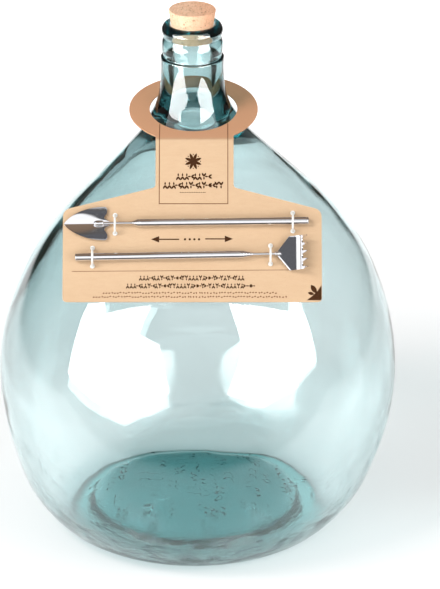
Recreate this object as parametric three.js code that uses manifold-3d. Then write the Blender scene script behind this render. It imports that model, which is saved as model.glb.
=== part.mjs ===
// Glass bottle terrarium set: a blown bottle with a cork, and a folded hang card that carries
// two telescopic hand tools. Millimetres, +Z up. The origin is on the floor under the middle of
// the bottle, -Y is the front with the card, and +X is to the right of someone who looks at it.
import * as THREE from 'three';
import { mergeVertices } from 'three/addons/utils/BufferGeometryUtils.js';
import Module from 'manifold-3d';

const wasm = await Module();
wasm.setup();

// ---- driving dimensions ----

const clearance = 0.3; // between pieces that touch

const bottle = {
  sides: 48,
  rimHeight: 503,
  wallAtShoulder: 7,
  wallAtFoot: 4.2,
  wallTop: 0.7, // shares of the outside curve between which the inside follows it
  wallBottom: 0.19,
  cavityShift: 2.8, // to the right at the shoulder, so the wall is thicker on the left
  standInner: 104, // the flat ring that the bottle stands on
  standOuter: 122,
  baseShift: -3, // how far the base, the shoulder and the neck stray from the middle, in X
  shoulderShift: 3.3,
  neckShift: -4.2,
};

const cork = {
  radiusAtRim: 19.95,
  taper: 0.16, // radius gained per millimetre of height
  above: 13.4,
  below: 17.6,
  chamfer: 0.9,
};

const card = {
  thickness: 1,
  centreX: -4,
  collarX: -3.3,
  stripX: -2,
  collarRadius: 60,
  collarHole: 40.8,
  collarHeight: 419.2,
  collarShiftY: -5,
  collarTilt: THREE.MathUtils.degToRad(9.7), // front edge down
  creaseReach: 55, // from the collar's centre to the fold
  stripHalf: 35.9,
  stripLength: 45,
  panelHalf: 118.6,
  panelTopAtSide: 66.4, // down the slope from the fold
  panelBottom: 152.7,
  topCornerRadius: 7,
  bottomCornerRadius: 4.5,
  innerCornerRadius: 3,
  tieHole: 1.5,
};

// Nested tubes, from the grip to the rod. Each bore leaves room for the next tube's rear collar,
// and each mouth is crimped too narrow for that collar to leave it.
const tube = {
  sides: 12,
  radii: [3.75, 3.1, 2.45, 1.85],
  wall: 0.3,
  rod: 1.3,
  collarRise: [0.2, 0.2, 0.2, 0.15],
  collarLength: 3,
  crimpLength: 2.5,
  crimpGap: 0.1,
  bevel: 0.15,
  plugHead: 2.8,
  plugSpigot: 6,
  extended: 710, // overall length of a tool that is pulled right out
};

// Each tool's own frame has its origin at the mouth of the grip tube, with +X towards the head.
// Places on the card are millimetres right of the bottle's middle and down the slope from the fold.
const trowel = {
  name: 'trowel',
  mouth: [-54.5, 80.6],
  turn: Math.PI + THREE.MathUtils.degToRad(0.68),
  gripLength: 157.7,
  step: 1.5, // how far each section stands out of the one before when it is folded
  rodReach: 39,
  headReach: 67.2,
};

const rake = {
  name: 'rake',
  mouth: [43.7, 110.1],
  turn: THREE.MathUtils.degToRad(1.03),
  gripLength: 155.4,
  step: 2.5,
  rodReach: 32.5,
  headReach: 57.6,
};

const blade = {
  back: 27.4,
  halfWidth: 15.7,
  thickness: 0.8,
  edgeHeight: -3.3, // from the tool's axis
  crown: 2.9,
  cornerShare: 0.07,
  socketStart: 30.7,
  socketEnd: 40.1,
  socketRadius: 2.6,
};

const head = {
  apex: 30.2,
  apexHalf: 2,
  shoulder: 41,
  bend: 46,
  halfWidth: 15.9,
  thickness: 1,
  socketStart: 27.5,
  socketEnd: 34,
  socketRadius: 2.3,
  rimHeight: 1.7,
  rimWidth: 1,
  tines: 5,
  tineHalf: 1.7,
  tineTipHalf: 0.35,
};

const tie = {
  footHalf: 8.5, // half the distance between a tie's two feet
  archHeight: 10,
  radius: 1,
  sides: 6,
  steps: 12,
  footSides: 8,
  collarRadius: 2.2,
  collarHeight: 0.6,
  shaftRadius: 1.2,
  barbRadius: 1.9,
  barbLength: 2.6,
};

const ties = [
  { name: 'trowel_tie_head', at: [-74.8, 81.3] },
  { name: 'trowel_tie_grip', at: [88.1, 79.1] },
  { name: 'rake_tie_head', at: [67.6, 109.8] },
  { name: 'rake_tie_grip', at: [-95.3, 112] },
];

// ---- materials ----

const glass = new THREE.MeshStandardMaterial({
  color: 0xa9cfcf, roughness: 0.05, metalness: 0, transparent: true, opacity: 0.45,
});
const corkwood = new THREE.MeshStandardMaterial({ color: 0xd9a981, roughness: 0.9, metalness: 0 });
const kraft = new THREE.MeshStandardMaterial({ color: 0xdba679, roughness: 0.85, metalness: 0 });
const chrome = new THREE.MeshStandardMaterial({ color: 0xc9c9cc, roughness: 0.12, metalness: 1 });
const clearPlastic = new THREE.MeshStandardMaterial({
  color: 0xf2f2ee, roughness: 0.2, metalness: 0, transparent: true, opacity: 0.7,
});

// ---- closed solids, joins and cuts ----

function toSolid(geometry) {
  const bare = geometry.clone();
  bare.deleteAttribute('normal');
  bare.deleteAttribute('uv');
  const merged = mergeVertices(bare, 1e-4);
  return new wasm.Manifold(new wasm.Mesh({
    numProp: 3,
    vertProperties: new Float32Array(merged.attributes.position.array),
    triVerts: new Uint32Array(merged.index.array),
  }));
}

function toGeometry(solid) {
  const mesh = solid.getMesh();
  const geometry = new THREE.BufferGeometry();
  geometry.setAttribute('position', new THREE.BufferAttribute(mesh.vertProperties, 3));
  geometry.setIndex(new THREE.BufferAttribute(mesh.triVerts, 1));
  geometry.computeVertexNormals();
  return geometry;
}

function join(geometries) {
  return geometries.map(toSolid).reduce((whole, piece) => whole.add(piece));
}

function named(name, geometry, material) {
  const mesh = new THREE.Mesh(geometry, material);
  mesh.name = name;
  return mesh;
}

const toPoints = (pairs) => pairs.map(([across, along]) => new THREE.Vector2(across, along));

// A closed outline of [radius, height] turned about Z.
function turned(outline, sides) {
  const geometry = new THREE.LatheGeometry(outline, sides);
  geometry.rotateX(Math.PI / 2);
  return geometry;
}

// The same with the outline's heights along X.
function turnedAlongX(pairs, sides) {
  const geometry = new THREE.LatheGeometry(toPoints(pairs), sides);
  geometry.rotateZ(-Math.PI / 2);
  return geometry;
}

// ---- bottle ----

// Radius and height from the floor up to the ledge under the neck's band.
const bodyCurve = new THREE.SplineCurve(toPoints([
  [bottle.standOuter, 0], [131.5, 4.5], [141, 12.5], [153, 26], [165.8, 46], [176.8, 76],
  [185.6, 110], [190, 150], [186.6, 190], [175.8, 230], [158.2, 270], [129.9, 310],
  [93.2, 350], [55.2, 390], [41.6, 411], [34.3, 425], [31, 438], [29.7, 453], [29.4, 470],
]));
const bandCurve = new THREE.SplineCurve(toPoints([
  [26.7, 471.8], [28, 476], [28.5, 484], [27, 490.2],
]));
const lipCurve = new THREE.SplineCurve(toPoints([
  [27, 490.2], [28.6, 496.4], [26.9, 501], [23.4, bottle.rimHeight], [21, 502.2],
]));
const throatCurve = new THREE.SplineCurve(toPoints([
  [18.5, 446], [19.8, 431], [23.6, 416], [31, 401],
]));
const floorCurve = new THREE.SplineCurve(toPoints([
  [143, 25.5], [131, 16], [115, 11], [105, 11.5], [96, 16], [80, 18.5], [40, 20.6], [0, 21.2],
]));
const bodySteps = 28;
const bandSteps = 5;
const lipSteps = 8;
const throatSteps = 4;
const wallSteps = 14;
const floorSteps = 11;

function corkRadius(height) {
  return cork.radiusAtRim + cork.taper * (height - bottle.rimHeight);
}

function outsideOutline() {
  return [
    ...toPoints([[0, 6.5], [40, 5.6], [78, 3.2], [98, 0.8], [bottle.standInner, 0]]),
    ...bodyCurve.getPoints(bodySteps),
    ...toPoints([[29, 470.8], [26.9, 471.1]]),
    ...bandCurve.getPoints(bandSteps),
    ...lipCurve.getPoints(lipSteps).slice(1),
  ];
}

// From the shoulder down to the foot, the inside follows the outside one wall's thickness in.
function insideOutline() {
  const { lerp, smoothstep } = THREE.MathUtils;
  const seatTop = bottle.rimHeight - 2;
  const seatBottom = bottle.rimHeight - 10;
  const wallInside = Array.from({ length: wallSteps + 1 }, (_, i) => {
    const share = lerp(bottle.wallTop, bottle.wallBottom, i / wallSteps);
    const out = bodyCurve.getTangent(share).rotateAround(new THREE.Vector2(), -Math.PI / 2);
    const point = bodyCurve.getPoint(share);
    const low = 1 - smoothstep(point.y, 140, 270);
    return point.addScaledVector(out, -lerp(bottle.wallAtShoulder, bottle.wallAtFoot, low));
  });
  return [
    ...toPoints([
      [corkRadius(seatTop) + clearance, seatTop],
      [corkRadius(seatBottom) + clearance, seatBottom],
    ]),
    ...throatCurve.getPoints(throatSteps),
    ...wallInside,
    ...floorCurve.getPoints(floorSteps),
  ];
}

// Blown glass isn't quite round: each level strays a little to the left or right.
function stray(height) {
  const { smoothstep } = THREE.MathUtils;
  return bottle.baseShift * (1 - smoothstep(height, 0, 130))
    + bottle.shoulderShift * smoothstep(height, 150, 290)
    + (bottle.neckShift - bottle.shoulderShift) * smoothstep(height, 320, 440);
}

function cavityStray(height) {
  const { smoothstep } = THREE.MathUtils;
  return bottle.cavityShift * smoothstep(height, 140, 260) * (1 - smoothstep(height, 360, 430));
}

function makeBottle() {
  const outside = outsideOutline();
  const outline = [...outside, ...insideOutline()];
  const body = turned(outline, bottle.sides);
  const place = body.attributes.position;
  for (let i = 0; i < place.count; i += 1) {
    const height = place.getZ(i);
    const inside = i % outline.length >= outside.length;
    place.setX(i, place.getX(i) + stray(height) + (inside ? cavityStray(height) : 0));
  }
  return named('glass_bottle', toGeometry(toSolid(body)), glass);
}

function makeCork() {
  const top = bottle.rimHeight + cork.above;
  const bottom = bottle.rimHeight - cork.below;
  const outline = toPoints([
    [0, bottom],
    [corkRadius(bottom) - cork.chamfer, bottom],
    [corkRadius(bottom + cork.chamfer), bottom + cork.chamfer],
    [corkRadius(top - cork.chamfer), top - cork.chamfer],
    [corkRadius(top) - cork.chamfer, top],
    [0, top],
  ]);
  const stopper = named('cork_stopper', toGeometry(toSolid(turned(outline, bottle.sides))), corkwood);
  stopper.position.x = bottle.neckShift;
  return stopper;
}

// ---- hang card ----

// The fold's middle, at half the card's thickness.
const fold = new THREE.Vector3(
  card.centreX,
  card.collarShiftY - card.creaseReach * Math.cos(card.collarTilt),
  card.collarHeight - card.creaseReach * Math.sin(card.collarTilt),
);

// The panel leans out from the vertical until its back just clears the bottle's shoulder.
function panelLean() {
  const clear = card.thickness / 2 + clearance;
  const shoulder = bodyCurve.getPoints(bodySteps * 4).filter((point) => point.y < fold.z - 40);
  const leans = shoulder.map((point) => {
    const out = point.x + fold.y;
    const down = fold.z - point.y;
    return Math.atan2(out, down) + Math.asin(clear / Math.hypot(out, down));
  });
  return Math.max(...leans);
}

// The strip's left and right side, from the given middle.
function stripSides(middle) {
  return [-card.stripHalf, card.stripHalf].map((side) => card.stripX + side - middle);
}

function collarShape() {
  const { collarRadius, creaseReach } = card;
  const [left, right] = stripSides(card.collarX);
  const leftAngle = -Math.PI / 2 + Math.asin(left / collarRadius);
  const rightAngle = -Math.PI / 2 + Math.asin(right / collarRadius);
  const shape = new THREE.Shape();
  shape.moveTo(left, -creaseReach);
  shape.lineTo(left, collarRadius * Math.sin(leftAngle));
  shape.absarc(0, 0, collarRadius, leftAngle, rightAngle, true);
  shape.lineTo(right, -creaseReach);
  shape.closePath();
  shape.holes.push(new THREE.Path().absarc(0, 0, card.collarHole, 0, 2 * Math.PI));
  return shape;
}

function panelShape() {
  const { stripLength, panelHalf, panelTopAtSide, panelBottom } = card;
  const [stripLeft, stripRight] = stripSides(card.centreX);
  const inner = card.innerCornerRadius;
  const top = card.topCornerRadius;
  const bottom = card.bottomCornerRadius;
  // Three points for each rounded corner, from the strip round to the bottom edge.
  const corners = (stripSide) => {
    const slope = Math.atan2(panelTopAtSide - stripLength, panelHalf - stripSide);
    return [
      [stripSide, -stripLength + inner],
      [stripSide, -stripLength],
      [stripSide + inner * Math.cos(slope), -stripLength - inner * Math.sin(slope)],
      [panelHalf - top * Math.cos(slope), -panelTopAtSide + top * Math.sin(slope)],
      [panelHalf, -panelTopAtSide],
      [panelHalf, -panelTopAtSide - top],
      [panelHalf, -panelBottom + bottom],
      [panelHalf, -panelBottom],
      [panelHalf - bottom, -panelBottom],
    ];
  };
  const right = corners(stripRight);
  const left = corners(-stripLeft).map(([x, y]) => [-x, y]).reverse();
  const shape = new THREE.Shape();
  shape.moveTo(stripRight, 0);
  for (const side of [right, left]) {
    for (let i = 0; i < side.length; i += 3) {
      shape.lineTo(...side[i]);
      shape.quadraticCurveTo(...side[i + 1], ...side[i + 2]);
    }
  }
  shape.lineTo(stripLeft, 0);
  shape.closePath();
  for (const { at: [x, down] } of ties) {
    for (const end of [-tie.footHalf, tie.footHalf]) {
      const hole = new THREE.Path();
      hole.absarc(x - card.centreX, end - down, card.tieHole, 0, 2 * Math.PI);
      shape.holes.push(hole);
    }
  }
  return shape;
}

function plate(shape, curveSegments) {
  const geometry = new THREE.ExtrudeGeometry(shape, {
    depth: card.thickness, bevelEnabled: false, curveSegments,
  });
  geometry.translate(0, 0, -card.thickness / 2);
  return geometry;
}

function makeCard(lean) {
  const collar = plate(collarShape(), 40);
  collar.translate(card.collarX - card.centreX, card.creaseReach, 0);
  collar.rotateX(card.collarTilt - (Math.PI / 2 - lean));
  const panel = plate(panelShape(), 5);
  const rounded = new THREE.CylinderGeometry(
    card.thickness / 2, card.thickness / 2, 2 * card.stripHalf, 12,
  );
  rounded.rotateZ(Math.PI / 2);
  rounded.translate(card.stripX - card.centreX, 0, 0);
  return named('hang_card', toGeometry(join([collar, panel, rounded])), kraft);
}

// ---- ties ----

function tieFoot() {
  const front = card.thickness / 2 + clearance;
  const back = -front;
  const outline = [
    [0, back - tie.barbLength],
    [tie.shaftRadius - 0.4, back - tie.barbLength],
    [tie.barbRadius, back - 0.8],
    [tie.barbRadius, back],
    [tie.shaftRadius, back],
    [tie.shaftRadius, front],
    [tie.collarRadius, front],
    [tie.collarRadius, front + tie.collarHeight],
    [0, front + tie.collarHeight],
  ];
  return turned(toPoints(outline), tie.footSides);
}

function makeTie({ name, at: [x, down] }) {
  const low = Math.asin((card.thickness / 2 + clearance + tie.collarHeight / 2) / tie.archHeight);
  const stops = [];
  for (let i = 0; i <= tie.steps; i += 1) {
    const angle = low + (Math.PI - 2 * low) * (i / tie.steps);
    stops.push(new THREE.Vector3(
      0, -tie.footHalf * Math.cos(angle), tie.archHeight * Math.sin(angle),
    ));
  }
  const arch = new THREE.ExtrudeGeometry(new THREE.Shape().absarc(0, 0, tie.radius, 0, 2 * Math.PI), {
    steps: tie.steps,
    curveSegments: tie.sides / 2,
    extrudePath: new THREE.CatmullRomCurve3(stops),
  });
  const feet = [-tie.footHalf, tie.footHalf].map((end) => tieFoot().translate(0, end, 0));
  const loop = named(name, toGeometry(join([arch, ...feet])), clearPlastic);
  loop.position.set(x - card.centreX, -down, 0);
  return loop;
}

// ---- telescopic tools ----

// A tube whose mouth is at X = 0. Its bore runs right through, narrower at the crimped mouth.
// The grip tube ends square, and an inner tube ends in the collar that keeps it captive.
function tubeGeometry(index, length) {
  const outer = tube.radii[index];
  const bore = outer - tube.wall;
  const next = tube.radii[index + 1] ?? tube.rod;
  const crimped = next + tube.crimpGap;
  const front = [
    [crimped, -tube.crimpLength],
    [crimped, 0],
    [outer - tube.bevel, 0],
    [outer, -tube.bevel],
  ];
  const back = [
    [outer, -length],
    [bore, -length],
    [bore, -tube.crimpLength - tube.wall],
  ];
  if (index > 0) {
    const collar = outer + tube.collarRise[index - 1];
    back.unshift(
      [outer, -length + tube.collarLength + tube.bevel],
      [collar, -length + tube.collarLength],
    );
    back[2] = [collar, -length];
  }
  const outline = [...front, ...back, front[0]].reverse();
  return turnedAlongX(outline, tube.sides);
}

function rodGeometry(from, to) {
  const collar = tube.rod + tube.collarRise.at(-1);
  const outline = [
    [0, from],
    [collar, from],
    [collar, from + tube.collarLength],
    [tube.rod, from + tube.collarLength + tube.bevel],
    [tube.rod, to],
    [0, to],
  ];
  return turnedAlongX(outline, tube.sides);
}

function plugGeometry(gripLength) {
  const headRadius = tube.radii[0];
  const spigot = headRadius - tube.wall - 0.25;
  const face = -gripLength + tube.plugHead - clearance;
  const outline = [
    [0, -gripLength],
    [headRadius - 1.3, -gripLength],
    [headRadius - 0.3, -gripLength + 0.9],
    [headRadius, face - 0.3],
    [headRadius, face],
    [spigot, face],
    [spigot, face + tube.plugSpigot],
    [0, face + tube.plugSpigot],
  ];
  return turnedAlongX(outline, tube.sides);
}

// A flat bar laid along a curve of [x, z], with its own half width at each share of its length.
function bentSheet({ place, halfWidth, thickness, lengthSteps, widthSteps, at = 0 }) {
  const geometry = new THREE.BoxGeometry(1, 2, thickness, lengthSteps, widthSteps, 1);
  const corner = geometry.attributes.position;
  for (let i = 0; i < corner.count; i += 1) {
    const share = corner.getX(i) + 0.5;
    const side = corner.getY(i);
    const spot = place(share, side);
    const lift = corner.getZ(i);
    corner.setXYZ(i, spot.x + spot.nx * lift, at + halfWidth(share) * side, spot.z + spot.nz * lift);
  }
  return geometry;
}

function socket(start, end, radius) {
  return turnedAlongX([[0, start], [radius - 0.3, start], [radius, start + 0.3], [radius, end - 0.8],
    [radius - 0.8, end], [0, end]], tube.sides);
}

function rodHole(start, end) {
  const radius = tube.rod + clearance;
  return toSolid(turnedAlongX([[0, start], [radius, start], [radius, end], [0, end]], tube.sides));
}

// A pointed leaf of sheet metal, crowned along its middle and rounded at its two back corners.
function makeBlade({ rodReach, headReach }) {
  const length = headReach - blade.back;
  const leaf = bentSheet({
    lengthSteps: 14,
    widthSteps: 8,
    thickness: blade.thickness,
    halfWidth: (share) => {
      const corner = Math.max(0, 1 - share / blade.cornerShare);
      const rounded = 0.84 + 0.16 * Math.sqrt(1 - corner ** 2);
      return blade.halfWidth * rounded * (1 - 0.999 * share ** 2.3) ** 0.82;
    },
    place: (share, side) => ({
      x: blade.back + length * share,
      z: blade.edgeHeight + blade.crown * (1 - Math.abs(side) ** 1.5) * (1 - 0.75 * share),
      nx: 0,
      nz: 1,
    }),
  });
  const stem = socket(blade.socketStart, blade.socketEnd, blade.socketRadius);
  const whole = join([leaf, stem]).subtract(rodHole(blade.back - 5, rodReach + clearance));
  return named('trowel_blade', toGeometry(whole), chrome);
}

// A fan of sheet metal with raised sides, whose front edge rises into five pointed tines.
function makeHead({ rodReach, headReach }) {
  const fan = new THREE.Shape(toPoints([
    [head.apex, -head.apexHalf],
    [head.shoulder, -head.halfWidth],
    [head.bend + 0.5, -head.halfWidth],
    [head.bend + 0.5, head.halfWidth],
    [head.shoulder, head.halfWidth],
    [head.apex, head.apexHalf],
  ]));
  const sheet = new THREE.ExtrudeGeometry(fan, { depth: head.thickness, bevelEnabled: false });
  sheet.translate(0, 0, -head.thickness / 2);

  const slant = Math.atan2(head.halfWidth - head.apexHalf, head.shoulder - head.apex);
  const slantLength = Math.hypot(head.halfWidth - head.apexHalf, head.shoulder - head.apex);
  const rims = [-1, 1].map((side) => {
    const rim = new THREE.BoxGeometry(slantLength, head.rimWidth, head.rimHeight);
    rim.translate(0, -side * head.rimWidth / 2, head.rimHeight / 2 - head.thickness / 2);
    rim.rotateZ(side * slant);
    rim.translate(
      (head.apex + head.shoulder) / 2, side * (head.apexHalf + head.halfWidth) / 2, 0,
    );
    return rim;
  });

  const rise = new THREE.SplineCurve(toPoints([
    [head.bend, 0], [49, 0.7], [52, 2.4], [53.8, 4.4], [55.3, 7.2], [headReach - 0.4, 11.6],
  ]));
  const along = (from, to) => (share) => {
    const t = from + (to - from) * share;
    const spot = rise.getPoint(t);
    const slope = rise.getTangent(t);
    return { x: spot.x, z: spot.y, nx: -slope.y, nz: slope.x };
  };
  const web = 0.62;
  const lip = bentSheet({
    lengthSteps: 6,
    widthSteps: 1,
    thickness: head.thickness,
    halfWidth: () => head.halfWidth,
    place: along(0, web),
  });
  const pitch = 2 * (head.halfWidth - head.tineHalf) / (head.tines - 1);
  const tines = Array.from({ length: head.tines }, (_, i) => bentSheet({
    lengthSteps: 4,
    widthSteps: 1,
    thickness: head.thickness,
    halfWidth: (share) => head.tineHalf + (head.tineTipHalf - head.tineHalf) * share ** 1.5,
    place: along(web - 0.04, 1),
    at: -head.halfWidth + head.tineHalf + pitch * i,
  }));
  const stem = socket(head.socketStart, head.socketEnd, head.socketRadius);
  const whole = join([sheet, ...rims, lip, ...tines, stem])
    .subtract(rodHole(head.socketStart - 5, rodReach + clearance));
  return named('rake_head', toGeometry(whole), chrome);
}

function makeTool(tool, makeEnd) {
  const travel = (tube.extended - tool.headReach - tool.gripLength) / tube.radii.length;
  const collarFront = -tube.crimpLength - tube.wall - clearance - travel;
  const group = new THREE.Group();
  const gripEnd = tool.gripLength - tube.plugHead;
  const grip = tubeGeometry(0, gripEnd);
  group.add(named(`${tool.name}_grip_tube`, toGeometry(toSolid(grip)), chrome));
  const plug = plugGeometry(tool.gripLength);
  group.add(named(`${tool.name}_end_plug`, toGeometry(toSolid(plug)), chrome));
  const sectionLength = tool.step - collarFront + tube.collarLength;
  for (let index = 1; index < tube.radii.length; index += 1) {
    const geometry = tubeGeometry(index, sectionLength);
    const section = named(`${tool.name}_section_${index}`, toGeometry(toSolid(geometry)), chrome);
    section.position.x = tool.step * index;
    group.add(section);
  }
  const rodBack = tool.step * (tube.radii.length - 1) + collarFront - tube.collarLength;
  const rod = rodGeometry(rodBack, tool.rodReach);
  group.add(named(`${tool.name}_rod`, toGeometry(toSolid(rod)), chrome));
  group.add(makeEnd(tool));
  const [x, down] = tool.mouth;
  const axisHeight = card.thickness / 2 + clearance + tube.radii[0];
  group.position.set(x - card.centreX, -down, axisHeight);
  group.rotation.z = tool.turn;
  return group;
}

// ---- assembly ----

const lean = panelLean();

// On the panel, +X is right, +Y is up the slope and +Z is out of the card's front.
const panelFrame = new THREE.Group();
panelFrame.position.copy(fold);
panelFrame.rotation.x = Math.PI / 2 - lean;
panelFrame.add(makeCard(lean));
for (const each of ties) {
  panelFrame.add(makeTie(each));
}
panelFrame.add(makeTool(trowel, makeBlade));
panelFrame.add(makeTool(rake, makeHead));

const group = new THREE.Group();
group.add(makeBottle());
group.add(makeCork());
group.add(panelFrame);

export default group;
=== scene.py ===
import math

import bmesh
import bpy
import numpy as np
from mathutils import Matrix, Vector, geometry, noise


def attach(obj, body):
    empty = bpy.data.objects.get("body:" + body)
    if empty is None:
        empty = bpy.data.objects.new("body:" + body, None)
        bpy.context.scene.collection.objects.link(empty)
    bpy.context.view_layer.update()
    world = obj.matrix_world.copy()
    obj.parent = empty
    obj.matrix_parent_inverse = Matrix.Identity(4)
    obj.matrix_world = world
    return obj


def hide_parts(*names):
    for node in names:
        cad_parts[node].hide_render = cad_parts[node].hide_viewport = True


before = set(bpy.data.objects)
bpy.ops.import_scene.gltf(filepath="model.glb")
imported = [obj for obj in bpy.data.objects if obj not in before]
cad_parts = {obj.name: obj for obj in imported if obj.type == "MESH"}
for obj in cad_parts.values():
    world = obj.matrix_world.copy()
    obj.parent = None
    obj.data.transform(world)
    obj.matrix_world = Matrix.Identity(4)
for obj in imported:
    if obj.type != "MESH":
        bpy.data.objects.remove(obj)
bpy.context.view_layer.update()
mm = 0.001
scene = bpy.context.scene


# helpers for curves, surfaces and objects, all sizes in millimetres

def splineStops(stops, shares):
    # a smooth curve through the stops, at the given shares of its length
    stops = np.array(stops, float)
    last = len(stops) - 1
    result = []
    for share in shares:
        at = min(max(share, 0.0), 1.0) * last
        i = min(int(at), last - 1)
        t = at - i
        a, b = stops[max(i - 1, 0)], stops[i]
        c, d = stops[i + 1], stops[min(i + 2, last)]
        into, out = (c - a) / 2, (d - b) / 2
        result.append((2 * b - 2 * c + into + out) * t ** 3
                      + (3 * c - 3 * b - 2 * into - out) * t ** 2 + into * t + b)
    return np.array(result)


def spline(stops, steps):
    return splineStops(stops, np.linspace(0, 1, steps + 1))


def smooth(value, low, high):
    t = min(max((value - low) / (high - low), 0.0), 1.0)
    return t * t * (3 - 2 * t)


def between(value, rise, fall):
    # 1 in the middle, fading out below and above
    return smooth(value, *rise) * (1 - smooth(value, *fall))


def blendOf(a, b, share):
    return a + (b - a) * share


def meshFrom(name, points, faces, sharpAngle=40):
    mesh = bpy.data.meshes.new(name)
    mesh.from_pydata([tuple(p) for p in points], [], faces)
    mesh.validate()
    mesh.shade_smooth()
    mesh.set_sharp_from_angle(angle=math.radians(sharpAngle))
    return mesh


def objectFrom(name, mesh, *materials):
    piece = bpy.data.objects.new(name, mesh)
    scene.collection.objects.link(piece)
    for material in materials:
        mesh.materials.append(material)
    return piece


def turnedGrid(outline, sides, closed=False):
    # an outline of (radius, height) turned about Z; it runs up the outside, so faces point outwards
    points, rows, faces = [], [], []
    turns = [2 * math.pi * i / sides for i in range(sides)]
    for radius, height in outline:
        start = len(points)
        if radius < 1e-6:
            rows.append([start] * sides)
            points.append((0, 0, height))
        else:
            rows.append([start + i for i in range(sides)])
            points += [(radius * math.cos(a), radius * math.sin(a), height) for a in turns]
    pairs = list(zip(rows, rows[1:]))
    if closed:
        pairs.append((rows[-1], rows[0]))
    for low, high in pairs:
        for i in range(sides):
            j = (i + 1) % sides
            corners = list(dict.fromkeys([low[i], low[j], high[j], high[i]]))
            if len(corners) > 2:
                faces.append(corners)
    return points, faces


def alongX(points):
    # heights along X instead of Z, without turning anything inside out
    return [(z, x, y) for x, y, z in points]


def evaluatedMesh(piece):
    graph = bpy.context.evaluated_depsgraph_get()
    return bpy.data.meshes.new_from_object(piece.evaluated_get(graph), depsgraph=graph)


def joined(name, parts):
    # closed shells made one, so that nothing is left inside
    whole = objectFrom(name, parts[0])
    for part in parts[1:]:
        other = objectFrom(name + "Part", part)
        modifier = whole.modifiers.new("join", "BOOLEAN")
        modifier.operation = "UNION"
        modifier.solver = "EXACT"
        modifier.object = other
        mesh = evaluatedMesh(whole)
        whole.modifiers.clear()
        whole.data = mesh
        bpy.data.objects.remove(other)
    mesh = whole.data
    bpy.data.objects.remove(whole)
    return mesh


# helpers for nodes

def newMaterial(name):
    material = bpy.data.materials.new(name)
    material.use_nodes = True
    nodes = material.node_tree.nodes
    nodes.clear()
    output = nodes.new("ShaderNodeOutputMaterial")
    shader = nodes.new("ShaderNodeBsdfPrincipled")
    material.node_tree.links.new(shader.outputs[0], output.inputs["Surface"])
    return material, shader, output


def place(tree, kind, **inputs):
    node = tree.nodes.new(kind)
    for name, value in inputs.items():
        socket = node.inputs[name.replace("_", " ")]
        if isinstance(value, bpy.types.NodeSocket):
            tree.links.new(value, socket)
        else:
            socket.default_value = value
    return node


def math2(tree, operation, a, b=0.0):
    node = tree.nodes.new("ShaderNodeMath")
    node.operation = operation
    for socket, value in zip(node.inputs, (a, b)):
        if isinstance(value, bpy.types.NodeSocket):
            tree.links.new(value, socket)
        else:
            socket.default_value = value
    return node.outputs[0]


def product(tree, first, *others):
    for other in others:
        first = math2(tree, "MULTIPLY", first, other)
    return first


def ranged(tree, value, low, high, toLow=0.0, toHigh=1.0):
    node = place(tree, "ShaderNodeMapRange", Value=value)
    node.inputs["From Min"].default_value = low
    node.inputs["From Max"].default_value = high
    node.inputs["To Min"].default_value = toLow
    node.inputs["To Max"].default_value = toHigh
    return node.outputs["Result"]


def mixed(tree, factor, a, b):
    node = tree.nodes.new("ShaderNodeMix")
    node.data_type = "RGBA"
    for socket, value in ((node.inputs[0], factor), (node.inputs[6], a), (node.inputs[7], b)):
        if isinstance(value, bpy.types.NodeSocket):
            tree.links.new(value, socket)
        else:
            socket.default_value = value
    return node.outputs[2]


def objectSpot(tree):
    return tree.nodes.new("ShaderNodeTexCoord").outputs["Object"]


def axisOf(tree, axis):
    return place(tree, "ShaderNodeSeparateXYZ", Vector=objectSpot(tree)).outputs[axis]


def lengthOf(tree, vector):
    node = tree.nodes.new("ShaderNodeVectorMath")
    node.operation = "LENGTH"
    tree.links.new(vector, node.inputs[0])
    return node.outputs["Value"]


def squeezed(tree, spot, scale):
    node = place(tree, "ShaderNodeMapping", Vector=spot)
    node.inputs["Scale"].default_value = scale
    return node.outputs[0]


def noiseNode(tree, spot, scale, detail, roughness=0.5):
    return place(tree, "ShaderNodeTexNoise", Vector=spot, Scale=float(scale), Detail=float(detail),
                 Roughness=roughness)


def noiseOf(*settings):
    return noiseNode(*settings).outputs["Fac"]


def thinLines(tree, value, thin, wide, strength=1.0):
    # thin lines where a noise crosses its middle, fading out from thin to wide
    off = math2(tree, "ABSOLUTE", math2(tree, "SUBTRACT", value, 0.5))
    return ranged(tree, off, thin, wide, strength, 0.0)


def newGroup(name, inputs, outputs):
    tree = bpy.data.node_groups.new(name, "ShaderNodeTree")
    for label, kind, value in inputs:
        socket = tree.interface.new_socket(label, in_out="INPUT", socket_type=kind)
        if value is not None:
            socket.default_value = value
    for label, kind in outputs:
        tree.interface.new_socket(label, in_out="OUTPUT", socket_type=kind)
    return tree, tree.nodes.new("NodeGroupInput"), tree.nodes.new("NodeGroupOutput")


grainLook = {
    "detail": 5.0,
    "roughness": 0.6,
    "speckFiner": 7.0,
    "speckDetail": 2.0,
    "speckShare": (0.62, 0.72),
}


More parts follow.
